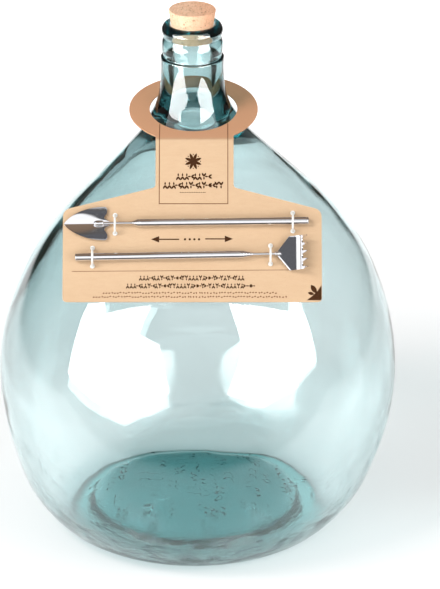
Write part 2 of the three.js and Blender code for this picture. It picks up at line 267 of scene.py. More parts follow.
def makeGrainGroup():
    # fibres, blotches and specks at one scale, for glass, cork, card, ink, plastic and metal
    tree, given, made = newGroup("grain", [
        ("Coordinates", "NodeSocketVector", None),
        ("Scale", "NodeSocketFloat", 100.0),
        ("Stretch", "NodeSocketVector", (1.0, 1.0, 1.0)),
        ("Softness", "NodeSocketFloat", 0.2),
    ], [("Mask", "NodeSocketFloat"), ("Specks", "NodeSocketFloat")])
    spread = tree.nodes.new("ShaderNodeVectorMath")
    spread.operation = "MULTIPLY"
    tree.links.new(given.outputs["Coordinates"], spread.inputs[0])
    tree.links.new(given.outputs["Stretch"], spread.inputs[1])
    wide = place(tree, "ShaderNodeTexNoise", Vector=spread.outputs[0], Scale=given.outputs["Scale"],
                 Detail=grainLook["detail"], Roughness=grainLook["roughness"])
    low = math2(tree, "SUBTRACT", 0.5, given.outputs["Softness"])
    high = math2(tree, "ADD", 0.5, given.outputs["Softness"])
    mask = place(tree, "ShaderNodeMapRange", Value=wide.outputs["Fac"])
    tree.links.new(low, mask.inputs["From Min"])
    tree.links.new(high, mask.inputs["From Max"])
    tree.links.new(mask.outputs["Result"], made.inputs["Mask"])
    finer = math2(tree, "MULTIPLY", given.outputs["Scale"], grainLook["speckFiner"])
    fine = place(tree, "ShaderNodeTexNoise", Vector=spread.outputs[0], Scale=finer,
                 Detail=grainLook["speckDetail"])
    specks = ranged(tree, fine.outputs["Fac"], *grainLook["speckShare"])
    tree.links.new(specks, made.inputs["Specks"])
    return tree


grainGroup = makeGrainGroup()


def grain(material, scale, stretch, softness):
    tree = material.node_tree
    node = tree.nodes.new("ShaderNodeGroup")
    node.node_tree = grainGroup
    tree.links.new(objectSpot(tree), node.inputs["Coordinates"])
    node.inputs["Scale"].default_value = scale
    node.inputs["Stretch"].default_value = stretch
    node.inputs["Softness"].default_value = softness
    return node.outputs["Mask"], node.outputs["Specks"]


def bumpOn(material, shader, height, distance, strength):
    bump = place(material.node_tree, "ShaderNodeBump", Height=height, Distance=distance,
                 Strength=strength)
    material.node_tree.links.new(bump.outputs[0], shader.inputs["Normal"])


# glass bottle

glassLook = {
    "absorbs": (44.0, 26.0, 25.0),  # per metre, red, green and blue
    "ior": 1.5,
    # painted shade: near-black tint along creases and the disc's broken edge, standing in for the dark
    # lines their bending of light makes
    "paintedLineShade": (0.06, 0.09, 0.09, 1),
}
wallLook = {
    "shadow": (1, 1, 1, 1),
    "waves": (22, (1, 1, 0.6), 0.45),  # scale, stretch and softness
    "waveShare": 0.25,
    "ripples": (90, (1, 1, 1.6), 0.25),
    "rippleTop": (0.02, 0.09),  # heights between which the mould's ripples die out
    "creaseStretch": (1, 1, 3.2),
    "creases": (26, 4, 0.6),  # scale, detail and roughness
    "creaseWidth": (0.003, 0.010),
    "gaps": (34, 1),
    "gapShare": (0.44, 0.54),
    "creaseTop": (0.012, 0.026),
    "creaseFront": (-0.02, 0.02),
    "bump": (0.0006, 0.5),
}
baseLook = {
    "tint": (0.85, 1.0, 1.0, 1),
    "shadow": (0.61, 1.0, 1.0, 1),
    "centreX": -3,
    "edgeRadius": 103,
    "edgeWobble": 7,
    "edgeHalf": 0.8,
    "edgeCore": 0.4,
    "bend": (38, 4, 0.65),
    "bendShare": (0.3, 0.7),
    "gaps": (30, 2),
    "gapShare": (0.40, 0.50),
    "push": 0.012,
    "creases": (30, 3, 0.55),
    "creaseWidth": (0.003, 0.0075),
    "patches": (60, 1),
    "patchShare": (0.54, 0.60),
    "bump": (0.0008, 0.8),
}


def finishGlass(material, shader, output, shadow):
    # light on its way to a matt surface goes straight through, only tinted
    tree = material.node_tree
    shader.inputs["Roughness"].default_value = 0.0
    shader.inputs["IOR"].default_value = glassLook["ior"]
    shader.inputs["Transmission Weight"].default_value = 1.0
    light = tree.nodes.new("ShaderNodeLightPath")
    clear = place(tree, "ShaderNodeBsdfTransparent", Color=shadow)
    straight = math2(tree, "MAXIMUM", light.outputs["Is Shadow Ray"],
                     light.outputs["Is Diffuse Ray"])
    both = tree.nodes.new("ShaderNodeMixShader")
    tree.links.new(straight, both.inputs[0])
    tree.links.new(shader.outputs[0], both.inputs[1])
    tree.links.new(clear.outputs[0], both.inputs[2])
    tree.links.new(both.outputs[0], output.inputs["Surface"])
    density = max(glassLook["absorbs"]) * 2
    depthTint = [1 - a / density for a in glassLook["absorbs"]]
    depth = place(tree, "ShaderNodeVolumeAbsorption", Color=(*depthTint, 1), Density=density)
    tree.links.new(depth.outputs[0], output.inputs["Volume"])


def makeWallGlass():
    look = wallLook
    material, shader, output = newMaterial("aquaGlass")
    tree = material.node_tree
    level = axisOf(tree, "Z")
    waves, _ = grain(material, *look["waves"])
    ripples, _ = grain(material, *look["ripples"])
    near = ranged(tree, level, *look["rippleTop"], 1.0, 0.0)
    height = math2(tree, "ADD", product(tree, waves, look["waveShare"]),
                   product(tree, ripples, near))
    wavy = noiseOf(tree, squeezed(tree, objectSpot(tree), look["creaseStretch"]), *look["creases"])
    broken = noiseOf(tree, objectSpot(tree), *look["gaps"])
    lines = product(tree, thinLines(tree, wavy, *look["creaseWidth"]),
                    ranged(tree, broken, *look["gapShare"]),
                    ranged(tree, level, *look["creaseTop"], 1.0, 0.0),
                    ranged(tree, axisOf(tree, "Y"), *look["creaseFront"], 1.0, 0.0))
    # painted shade: the glass is tinted nearly black along creases low on the front of the foot; the
    # same lines are also bumps
    tree.links.new(mixed(tree, lines, (1, 1, 1, 1), glassLook["paintedLineShade"]),
                   shader.inputs["Base Color"])
    bumpOn(material, shader, math2(tree, "SUBTRACT", height, lines), *look["bump"])
    finishGlass(material, shader, output, look["shadow"])
    return material


def makeBaseGlass():
    # creases that the cooling glass kept, and the broken edge of the thick disc, as bumps and as
    # painted shade: the glass is tinted nearly black along them
    look = baseLook
    material, shader, output = newMaterial("aquaGlassBase")
    tree = material.node_tree
    centre = place(tree, "ShaderNodeMapping", Vector=objectSpot(tree))
    centre.inputs["Location"].default_value = (-look["centreX"] * mm, 0, 0)
    centre.inputs["Scale"].default_value = (1, 1, 0)
    flat = centre.outputs[0]
    bend = noiseNode(tree, flat, *look["bend"])
    wobble = ranged(tree, bend.outputs["Fac"], *look["bendShare"], -look["edgeWobble"] * mm,
                    look["edgeWobble"] * mm)
    offEdge = math2(tree, "SUBTRACT", math2(tree, "ADD", lengthOf(tree, flat), wobble),
                    look["edgeRadius"] * mm)
    half = look["edgeHalf"] * mm
    edge = ranged(tree, math2(tree, "ABSOLUTE", offEdge), half * look["edgeCore"], half, 1.0, 0.0)
    gaps = noiseOf(tree, flat, *look["gaps"])
    edge = product(tree, edge, ranged(tree, gaps, *look["gapShare"]))
    pushed = tree.nodes.new("ShaderNodeVectorMath")
    pushed.operation = "MULTIPLY_ADD"
    tree.links.new(bend.outputs["Color"], pushed.inputs[0])
    pushed.inputs[1].default_value = (look["push"], look["push"], 0)
    tree.links.new(flat, pushed.inputs[2])
    wrinkles = noiseOf(tree, pushed.outputs[0], *look["creases"])
    patches = noiseOf(tree, flat, *look["patches"])
    creases = product(tree, thinLines(tree, wrinkles, *look["creaseWidth"]),
                      ranged(tree, patches, *look["patchShare"]))
    lines = math2(tree, "MAXIMUM", edge, creases)
    # painted shade: near-black tint along the creases and the disc's edge
    tree.links.new(mixed(tree, lines, look["tint"], glassLook["paintedLineShade"]),
                   shader.inputs["Base Color"])
    bumpOn(material, shader, lines, *look["bump"])
    finishGlass(material, shader, output, look["shadow"])
    return material


wallGlass = makeWallGlass()
baseGlass = makeBaseGlass()

bottle = {
    "sides": 216,
    "steps": {"under": 20, "body": 150, "band": 14, "lip": 18, "throat": 40, "wall": 110, "floor": 80},
    "rimHeight": 503,
    "wallAtShoulder": 7,
    "wallAtFoot": 4.2,
    "wallThins": (140, 270),
    "wallShares": (0.7, 0.19),  # how far along the body's outline the inside wall starts and ends
    "cavityShift": 2.8,
    "cavityFades": ((140, 260), (360, 430)),
    "corkGap": 0.3,
    "baseShift": -3,  # how far the foot strays to one side, and where that fades out
    "baseFrom": (0, 130),
    "shoulderShift": 3.3,
    "shoulderFrom": (150, 290),
    "neckShift": -4.2,
    "neckFrom": (320, 440),
    "under": [(0, 6.5), (40, 5.6), (78, 3.2), (98, 0.8), (104, 0)],
    "body": [(122, 0), (131.5, 4.5), (141, 12.5), (153, 26), (165.8, 46), (176.8, 76),
             (185.6, 110), (190, 150), (186.6, 190), (175.8, 230), (158.2, 270), (129.9, 310),
             (93.2, 350), (55.2, 390), (41.6, 411), (34.3, 425), (31, 438), (29.7, 453), (29.4, 470)],
    "ledge": [(29, 470.7), (27.4, 471.0)],
    "band": [(27.2, 471.5), (28, 475), (28.5, 484), (27, 490.2)],
    "lip": [(27, 490.2), (28.6, 496.4), (26.9, 501), (23.4, 503), (21, 502.2)],
    "throat": [(18.5, 446), (18.5, 428), (18.8, 411), (20.2, 404), (27, 399.5), (38, 392.5)],
    "floor": [(143, 20.5), (132, 10.5), (120, 6), (110, 5.4), (104, 7.5), (98, 14), (80, 18.5),
              (40, 20.6), (0, 21.2)],
    "outerWaves": 0.25,
    "outerWaveLength": 70,
    "outerFades": ((1, 60), (460, 470)),
    "innerWaves": 0.4,
    "innerWaveLengths": (60, 22),
    "innerFades": ((18, 60), (430, 445)),
    "footWrinkles": 0.9,
    "footWrinkleLengths": (13, 30, 40),
    "footRing": (95, 125),
    "footTop": (30, 60),
    "footRipples": (17, 29),  # how often each ripple goes round the foot
    "baseLevel": 24,
    "baseRadius": 118,
}
corkSize = {
    "radiusAtRim": 19.95,
    "taper": 0.16,
    "above": 13.4,
    "below": 17.6,
    "chamfer": 0.9,
    "sides": 144,
    "rings": (14, 46, 30),  # under it, up its side and over its top
    "pitDepth": 0.45,
    "pitStretch": (1, 0.55, 0.8),
    "pitSpacing": 2.6,
    "pitReach": 0.28,
    "pitPatches": (0.31, 0.02),  # a slower noise's scale, and where it starts to be pitted
    "unevenness": (0.08, 1.1),  # depth and length
    "edgeShare": 1.5,  # this many chamfers from its side, the pits start to run down
}


def corkRadius(height):
    return corkSize["radiusAtRim"] + corkSize["taper"] * (height - bottle["rimHeight"])


def insideWall(steps):
    shares = np.linspace(*bottle["wallShares"], steps + 1)
    here = splineStops(bottle["body"], shares)
    ahead = splineStops(bottle["body"], shares + 1e-4)
    behind = splineStops(bottle["body"], shares - 1e-4)
    result = []
    for point, way in zip(here, ahead - behind):
        way /= np.linalg.norm(way)
        low = 1 - smooth(point[1], *bottle["wallThins"])
        wall = blendOf(bottle["wallAtShoulder"], bottle["wallAtFoot"], low)
        result.append(point - wall * np.array([way[1], -way[0]]))
    return result


def stray(height):
    # blown glass isn't quite round: each level strays a little to one side
    return (bottle["baseShift"] * (1 - smooth(height, *bottle["baseFrom"]))
            + bottle["shoulderShift"] * smooth(height, *bottle["shoulderFrom"])
            + (bottle["neckShift"] - bottle["shoulderShift"]) * smooth(height, *bottle["neckFrom"]))


def bottleOutline():
    rim, steps = bottle["rimHeight"], bottle["steps"]
    runs = {name: spline(bottle[name], steps[name])
            for name in ("under", "body", "band", "lip", "throat", "floor")}
    outside = [*runs["under"], *runs["body"], *bottle["ledge"], *runs["band"], *runs["lip"][1:]]
    inside = [*((corkRadius(rim - deep) + bottle["corkGap"], rim - deep) for deep in (2, 10)),
              *runs["throat"], *insideWall(steps["wall"]), *runs["floor"]]
    return outside, inside


def outerWave(spot):
    waves = noise.noise(spot / bottle["outerWaveLength"]) - 1
    return bottle["outerWaves"] * waves * between(spot.z, *bottle["outerFades"])


def innerWave(spot, radius, turn):
    long, short = bottle["innerWaveLengths"]
    waves = noise.noise(spot / long + Vector((7, 3, 1))) + 0.4 * noise.noise(spot / short)
    amount = bottle["innerWaves"] * waves * between(spot.z, *bottle["innerFades"])
    foot = smooth(radius, *bottle["footRing"]) * (1 - smooth(spot.z, *bottle["footTop"]))
    dent, patch, drift = (noise.noise(spot / length) for length in bottle["footWrinkleLengths"])
    slow, quick = bottle["footRipples"]
    ripple = math.sin(slow * turn + 3 * drift) + math.sin(quick * turn + 1.3)
    return amount + bottle["footWrinkles"] * foot * (1.4 * dent + 0.35 * ripple * patch)


def makeBottle():
    outside, inside = bottleOutline()
    points, faces = turnedGrid([*outside, *inside], bottle["sides"])
    firstInside = 1 + (len(outside) - 1) * bottle["sides"]
    moved = []
    for i, (x, y, z) in enumerate(points):
        radius = math.hypot(x, y)
        shift = stray(z)
        spot = Vector((x, y, z))
        if i < firstInside:
            amount = outerWave(spot)
        else:
            amount = innerWave(spot, radius, math.atan2(y, x))
            shift += bottle["cavityShift"] * between(z, *bottle["cavityFades"])
        if radius > 1e-6:
            x *= (radius + amount) / radius
            y *= (radius + amount) / radius
        moved.append(((x + shift) * mm, y * mm, z * mm))
    mesh = meshFrom("glassBottle", moved, faces, 55)
    piece = objectFrom("glassBottle", mesh, wallGlass, baseGlass)
    for face in mesh.polygons:
        x, y, z = face.center
        if z < bottle["baseLevel"] * mm and math.hypot(x, y) < bottle["baseRadius"] * mm:
            face.material_index = 1
    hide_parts("glass_bottle")
    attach(piece, "root")


makeBottle()
print("bottle made")


# cork

corkLook = {
    "pale": (0.93, 0.62, 0.43, 1),
    "dark": (0.74, 0.42, 0.26, 1),
    "streak": (0.9, 0.66, 0.46, 1),
    # painted shade: the darker, redder tone of the cork's side away from the key light
    "paintedShadeColour": (0.80, 0.42, 0.25, 1),
    "pore": (0.15, 0.06, 0.03, 1),
    "line": (0.50, 0.24, 0.13, 1),
    "blotches": (120, (1, 1, 0.5), 0.3),  # scale, stretch and softness
    "streaks": (260, (1, 0.25, 1), 0.14),
    "streakShare": 0.35,
    "paintedShadeAcross": (-0.012, 0.016, 0.0, 0.8),  # from one X to the other, from none to this share
    "poreScale": 340.0,
    "poreSize": (0.14, 0.34),
    "porePatches": (210, 1),
    "porePatchShare": (0.46, 0.56),
    "poreShare": 0.8,
    "lineStretch": (1, 0.4, 1),
    "lines": (230, 4),
    "lineWidth": (0.006, 0.025),
    "lineShare": 0.4,
    "roughness": 0.85,
    "specular": 0.25,
    "bump": (0.0004, 0.6),
}


def makeCorkMaterial():
    look = corkLook
    material, shader, _ = newMaterial("naturalCork")
    tree = material.node_tree
    blotches, _ = grain(material, *look["blotches"])
    streaks, specks = grain(material, *look["streaks"])
    colour = mixed(tree, blotches, look["dark"], look["pale"])
    light = mixed(tree, product(tree, streaks, look["streakShare"]), colour, look["streak"])
    # painted shade: the cork darkens and reddens towards +X, the side away from the key light
    light = mixed(tree, ranged(tree, axisOf(tree, "X"), *look["paintedShadeAcross"]), light, look["paintedShadeColour"])
    cells = place(tree, "ShaderNodeTexVoronoi", Vector=objectSpot(tree), Scale=look["poreScale"])
    patches = noiseOf(tree, objectSpot(tree), *look["porePatches"])
    pores = product(tree, ranged(tree, cells.outputs["Distance"], *look["poreSize"], 1.0, 0.0),
                    ranged(tree, patches, *look["porePatchShare"]))
    specks = math2(tree, "MAXIMUM", specks, pores)
    rings = noiseOf(tree, squeezed(tree, objectSpot(tree), look["lineStretch"]), *look["lines"])
    light = mixed(tree, thinLines(tree, rings, *look["lineWidth"], look["lineShare"]), light,
                  look["line"])
    spotted = mixed(tree, product(tree, specks, look["poreShare"]), light, look["pore"])
    tree.links.new(spotted, shader.inputs["Base Color"])
    shader.inputs["Roughness"].default_value = look["roughness"]
    shader.inputs["Specular IOR Level"].default_value = look["specular"]
    bumpOn(material, shader, math2(tree, "SUBTRACT", streaks, specks), *look["bump"])
    return material


def makeCork():
    rim = bottle["rimHeight"]
    low, high, cut = rim - corkSize["below"], rim + corkSize["above"], corkSize["chamfer"]
    under, side, over = corkSize["rings"]
    outline = [(r, low) for r in np.linspace(0, corkRadius(low) - cut, under)]
    outline += [(corkRadius(z), z) for z in np.linspace(low + cut, high - cut, side)]
    outline += [(r, high) for r in np.linspace(corkRadius(high) - cut, 0, over)]
    points, faces = turnedGrid(outline, corkSize["sides"])
    patchScale, patchFrom = corkSize["pitPatches"]
    uneven, unevenLength = corkSize["unevenness"]
    moved = []
    for x, y, z in points:
        spot = Vector(a * b for a, b in zip((x, y, z), corkSize["pitStretch"])) / corkSize["pitSpacing"]
        near = noise.voronoi(spot)[0][0]
        pitted = noise.noise(spot * patchScale) > patchFrom
        deep = corkSize["pitDepth"] * max(0.0, 1 - near / corkSize["pitReach"]) * pitted
        deep += uneven * (1 + noise.noise(Vector((x, y, z)) / unevenLength))
        radius = max(math.hypot(x, y), 1e-6)
        if radius > corkRadius(z) - corkSize["edgeShare"] * cut:
            x, y = x * (1 - deep / radius), y * (1 - deep / radius)
        elif z > rim:
            z -= deep
        moved.append(((x + bottle["neckShift"]) * mm, y * mm, z * mm))
    piece = objectFrom("corkStopper", meshFrom("corkStopper", moved, faces, 50), makeCorkMaterial())
    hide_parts("cork_stopper")
    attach(piece, "root")


makeCork()
print("cork made")


# hang card: one flat sheet, cut out, then bent at the fold

card = {
    "thickness": 1,
    "centreX": -4,
    "collarX": -3.3,
    "stripX": -2,
    "collarRadius": 60,
    "collarHole": 40.8,
    "collarTilt": math.radians(9.7),
    "creaseReach": 55,
    "foldAt": (-4.0, -59.2137, 409.9331),
    "leanSine": 0.5872324,
    "foldRadius": 0.8,
    "stripHalf": 35.9,
    "stripLength": 45,
    "panelHalf": 118.6,
    "panelTopAtSide": 66.4,
    "panelBottom": 152.7,
    "topCorner": 7,
    "bottomCorner": 4.5,
    "innerCorner": 3,
    "tieHole": 1.5,
    "holeSides": (160, 24),  # of the neck's hole and of a tie's
    "grid": 4.0,
    "foldRows": (-1, -0.6, -0.2, 0.2, 0.6, 1),  # rows of points over the fold, as shares of its half
    "foldPoints": (-32.5, 3.0, 24),  # where each row starts, its step and its count
}
cardLook = {
    "face": (0.535, 0.38, 0.243, 1),
    "faceDark": (0.45, 0.29, 0.17, 1),
    # painted shade: the up-facing collar gets a deeper orange than the face, for the different light it
    # catches
    "collar": (0.54, 0.285, 0.16, 1),
    "cutEdge": (0.86, 0.74, 0.60, 1),
    "speck": (0.12, 0.06, 0.03, 1),
    "clouds": (14, (1, 1, 1), 0.35),  # scale, stretch and softness
    "cloudShare": 0.45,
    "fibres": (420, (0.25, 1, 1), 0.22),
    "fibreShare": 0.3,
    "speckShare": 0.2,
    "collarShadeFrom": (0.4100, 0.4112),
    "roughness": 0.8,
    "specular": 0.3,
    "bump": (0.00012, 0.5),
}

panelLean = math.asin(card["leanSine"])
foldAngle = math.pi / 2 - panelLean - card["collarTilt"]
foldHalf = card["foldRadius"] * foldAngle / 2


def onCard(x, up, out):
    # a point of the flat sheet, right of its middle, up from the fold and out of its face
    radius, turn = card["foldRadius"], panelLean
    slopeUp = Vector((0, math.sin(turn), math.cos(turn)))
    slopeOut = Vector((0, -math.cos(turn), math.sin(turn)))
    collarUp = Vector((0, math.cos(card["collarTilt"]), math.sin(card["collarTilt"])))
    collarOut = Vector((0, -math.sin(card["collarTilt"]), math.cos(card["collarTilt"])))
    start = Vector(card["foldAt"]) + Vector((x, 0, 0))
    if up <= -foldHalf:
        return start + slopeUp * up + slopeOut * out
    if up >= foldHalf:
        return start + collarUp * up + collarOut * out
    share = (up + foldHalf) / (2 * foldHalf) * foldAngle
    middle = start - slopeUp * foldHalf - slopeOut * radius
    way = slopeOut * math.cos(share) + slopeUp * math.sin(share)
    return middle + way * (radius + out)


def roundedPath(stops):
    # straight runs with rounded corners: each stop is (x, y) or three points of one corner
    path = []
    for stop in stops:
        if len(stop) == 2:
            path.append(Vector(stop))
            continue
        a, b, c = (Vector(p) for p in stop)
        for i in range(7):
            t = i / 6
            path.append(a * (1 - t) ** 2 + b * 2 * t * (1 - t) + c * t * t)
    return path


def cardOutline():
    left, right = (card["stripX"] + side * card["stripHalf"] - card["centreX"] for side in (-1, 1))
    inner, top, bottom = card["innerCorner"], card["topCorner"], card["bottomCorner"]
    length, half, down = card["stripLength"], card["panelHalf"], card["panelTopAtSide"]
    floor = card["panelBottom"]

    def side(strip):
        slope = math.atan2(down - length, half - strip)
        c, s = math.cos(slope), math.sin(slope)
        return [((strip, -length + inner), (strip, -length), (strip + inner * c, -length - inner * s)),
                ((half - top * c, -down + top * s), (half, -down), (half, -down - top)),
                ((half, -floor + bottom), (half, -floor), (half - bottom, -floor))]

    rightSide = side(right)
    leftSide = [tuple((-x, y) for x, y in reversed(corner)) for corner in reversed(side(-left))]
    middleX = card["collarX"] - card["centreX"]
    radius, reach = card["collarRadius"], card["creaseReach"]
    startAngle = math.asin((left - middleX) / radius) - math.pi / 2
    endAngle = math.asin((right - middleX) / radius) - math.pi / 2
    arc = []
    for i in range(121):
        a = startAngle - (2 * math.pi - (endAngle - startAngle)) * i / 120
        arc.append((middleX + radius * math.cos(a), reach + radius * math.sin(a)))
    return roundedPath([(right, 0.0), *rightSide, *leftSide, (left, 0.0), *arc])


def circle(x, y, radius, count):
    return [Vector((x + radius * math.cos(2 * math.pi * i / count),
                    y + radius * math.sin(2 * math.pi * i / count))) for i in range(count)]


def sheetSolid(name, outline, holes, thickness, bend, extra, grid):
    # a flat shape with holes, filled with small triangles, given a thickness and bent
    loops = [outline, *holes]
    points, edges = [], []
    for loop in loops:
        start = len(points)
        points += [Vector(p[:2]) for p in loop]
        edges += [(start + i, start + (i + 1) % len(loop)) for i in range(len(loop))]

    def insideOf(p, loop):
        result = False
        for a, b in zip(loop, [*loop[1:], loop[0]]):
            if (a[1] > p[1]) != (b[1] > p[1]):
                if p[0] < (b[0] - a[0]) * (p[1] - a[1]) / (b[1] - a[1]) + a[0]:
                    result = not result
        return result

    low = [min(p[k] for p in outline) for k in (0, 1)]
    high = [max(p[k] for p in outline) for k in (0, 1)]
    seeds = []
    for i in range(int((high[0] - low[0]) / grid) + 1):
        for j in range(int((high[1] - low[1]) / grid) + 1):
            seeds.append((low[0] + (i + 0.5 * (j % 2)) * grid, low[1] + (j + 0.3) * grid))
    seeds += extra
    chosen = set(extra)
    border = np.array([tuple(p) for p in points])
    for p in seeds:
        apart = np.hypot(border[:, 0] - p[0], border[:, 1] - p[1]).min()
        near = 0.35 * grid if p in chosen else 0.45 * grid
        if apart > near and insideOf(p, outline) and not any(insideOf(p, h) for h in holes):
            points.append(Vector(p))
    flat, _, triangles, _, _, _ = geometry.delaunay_2d_cdt(points, edges, [], 1, 1e-6)
    kept = []
    for face in triangles:
        middle = sum((Vector(flat[i]) for i in face), Vector((0, 0))) / len(face)
        if insideOf(middle, outline) and not any(insideOf(middle, h) for h in holes):
            area = sum(flat[a][0] * flat[b][1] - flat[b][0] * flat[a][1]
                       for a, b in zip(face, [*face[1:], face[0]]))
            kept.append(list(face) if area > 0 else list(reversed(face)))
    count = len(flat)
    used = dict.fromkeys((a, b) for face in kept for a, b in zip(face, [*face[1:], face[0]]))
    solid = [list(f) for f in kept]
    solid += [[i + count for i in reversed(f)] for f in kept]
    solid += [[b, a, a + count, b + count] for a, b in used if (b, a) not in used]
    placed = [bend(p[0], p[1], thickness / 2) * mm for p in flat]
    placed += [bend(p[0], p[1], -thickness / 2) * mm for p in flat]
    mesh = meshFrom(name, placed, solid, 35)
    tidy = bmesh.new()
    tidy.from_mesh(mesh)
    loose = [v for v in tidy.verts if not v.link_faces]
    bmesh.ops.delete(tidy, geom=loose, context="VERTS")
    tidy.to_mesh(mesh)
    tidy.free()
    return mesh


def makeCardMaterial(name, face, faceDark):
    look = cardLook
    material, shader, _ = newMaterial(name)
    tree = material.node_tree
    clouds, _ = grain(material, *look["clouds"])
    fibres, specks = grain(material, *look["fibres"])
    colour = mixed(tree, product(tree, clouds, look["cloudShare"]), face, faceDark)
    fibred = mixed(tree, product(tree, fibres, look["fibreShare"]), colour, faceDark)
    spotted = mixed(tree, product(tree, specks, look["speckShare"]), fibred, look["speck"])
    # painted shade: above the fold the card turns to the deeper collar tone
    above = ranged(tree, axisOf(tree, "Z"), *look["collarShadeFrom"])
    tree.links.new(mixed(tree, above, spotted, look["collar"]), shader.inputs["Base Color"])
    shader.inputs["Roughness"].default_value = look["roughness"]
    shader.inputs["Specular IOR Level"].default_value = look["specular"]
    bumpOn(material, shader, fibres, *look["bump"])
    return material


def makeCard():
    neckSides, tieSides = card["holeSides"]
    holes = [circle(card["collarX"] - card["centreX"], card["creaseReach"], card["collarHole"],
                    neckSides)]
    for _, x, down in tie["spots"].values():
        for end in (-tie["footHalf"], tie["footHalf"]):
            holes.append(circle(x - card["centreX"], end - down, card["tieHole"], tieSides))
    start, step, count = card["foldPoints"]
    folds = [(start + i * step, share * foldHalf) for share in card["foldRows"] for i in range(count)]
    mesh = sheetSolid("hangCard", cardOutline(), holes, card["thickness"], onCard, folds, card["grid"])
    faceMaterial = makeCardMaterial("kraftCard", cardLook["face"], cardLook["faceDark"])
    edgeMaterial = makeCardMaterial("kraftCutEdge", cardLook["cutEdge"], cardLook["face"])
    piece = objectFrom("hangCard", mesh, faceMaterial, edgeMaterial)
    slopeOut = onCard(0, -10, 1) - onCard(0, -10, 0)
    collarOut = onCard(0, 10, 1) - onCard(0, 10, 0)
    for face in mesh.polygons:
        if max(abs(face.normal.dot(slopeOut)), abs(face.normal.dot(collarOut))) < 0.6:
            face.material_index = 1  # the cut edge, lighter than the face
    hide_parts("hang_card")
    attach(piece, "root")


# ties: one tree of geometry nodes, used four times

tie = {
    "spots": {  # its node, how far right it stands, and how far down from the fold
        "trowelTieHead": ("trowel_tie_head", -74.8, 80.1),
        "trowelTieGrip": ("trowel_tie_grip", 88.1, 77.9),
        "rakeTieHead": ("rake_tie_head", 67.6, 108.6),
        "rakeTieGrip": ("rake_tie_grip", -95.3, 110.8),
    },
    "footHalf": 8.5,
    "archHeight": 10,
    "radius": 1,
    "wireSides": 14,
    "archSteps": 40,
    "archInset": 0.1,  # the arch stops this angle short of each foot, inside the collar
    "gap": 0.3,  # to the card, on both sides
    "barb": [(0, -2.6), (0.8, -2.6), (1.9, -0.8), (1.9, 0), (1.2, 0)],
    "collar": [(1.2, 0), (2.05, 0), (2.2, 0.15), (2.1, 0.5), (1.8, 0.6), (0, 0.6)],
    "footSides": 24,
}
tieLook = {
    "clear": (0.93, 0.93, 0.90, 1),
    "milky": (0.80, 0.80, 0.77, 1),
    "clouds": (300, (1, 1, 1), 0.4),
    "roughness": (0.25, 0.4),
    "transmission": 0.3,
    "ior": 1.45,
}


def makeTieMaterial():
    material, shader, _ = newMaterial("milkyPlastic")
    tree = material.node_tree
    cloudy, _ = grain(material, *tieLook["clouds"])
    tree.links.new(mixed(tree, cloudy, tieLook["clear"], tieLook["milky"]),
                   shader.inputs["Base Color"])
    tree.links.new(ranged(tree, cloudy, 0, 1, *tieLook["roughness"]), shader.inputs["Roughness"])
    shader.inputs["Transmission Weight"].default_value = tieLook["transmission"]
    shader.inputs["IOR"].default_value = tieLook["ior"]
    return material


def newGeometryTree(name, inputs):
    tree = bpy.data.node_groups.new(name, "GeometryNodeTree")
    tree.interface.new_socket("Geometry", in_out="OUTPUT", socket_type="NodeSocketGeometry")
    for label, kind in inputs:
        tree.interface.new_socket(label, in_out="INPUT", socket_type=kind)
    return tree, tree.nodes.new("NodeGroupInput"), tree.nodes.new("NodeGroupOutput")


def runTree(tree, name, values):
    # runs the tree on an empty mesh and gives back the plain mesh it makes
    carrier = objectFrom(name, bpy.data.meshes.new(name))
    modifier = carrier.modifiers.new("make", "NODES")
    modifier.node_group = tree
    for item in tree.interface.items_tree:
        if item.item_type == "SOCKET" and item.in_out == "INPUT" and item.name in values:
            modifier[item.identifier] = values[item.name]
    mesh = evaluatedMesh(carrier)
    carrier.modifiers.clear()
    bpy.data.objects.remove(carrier)
    return mesh


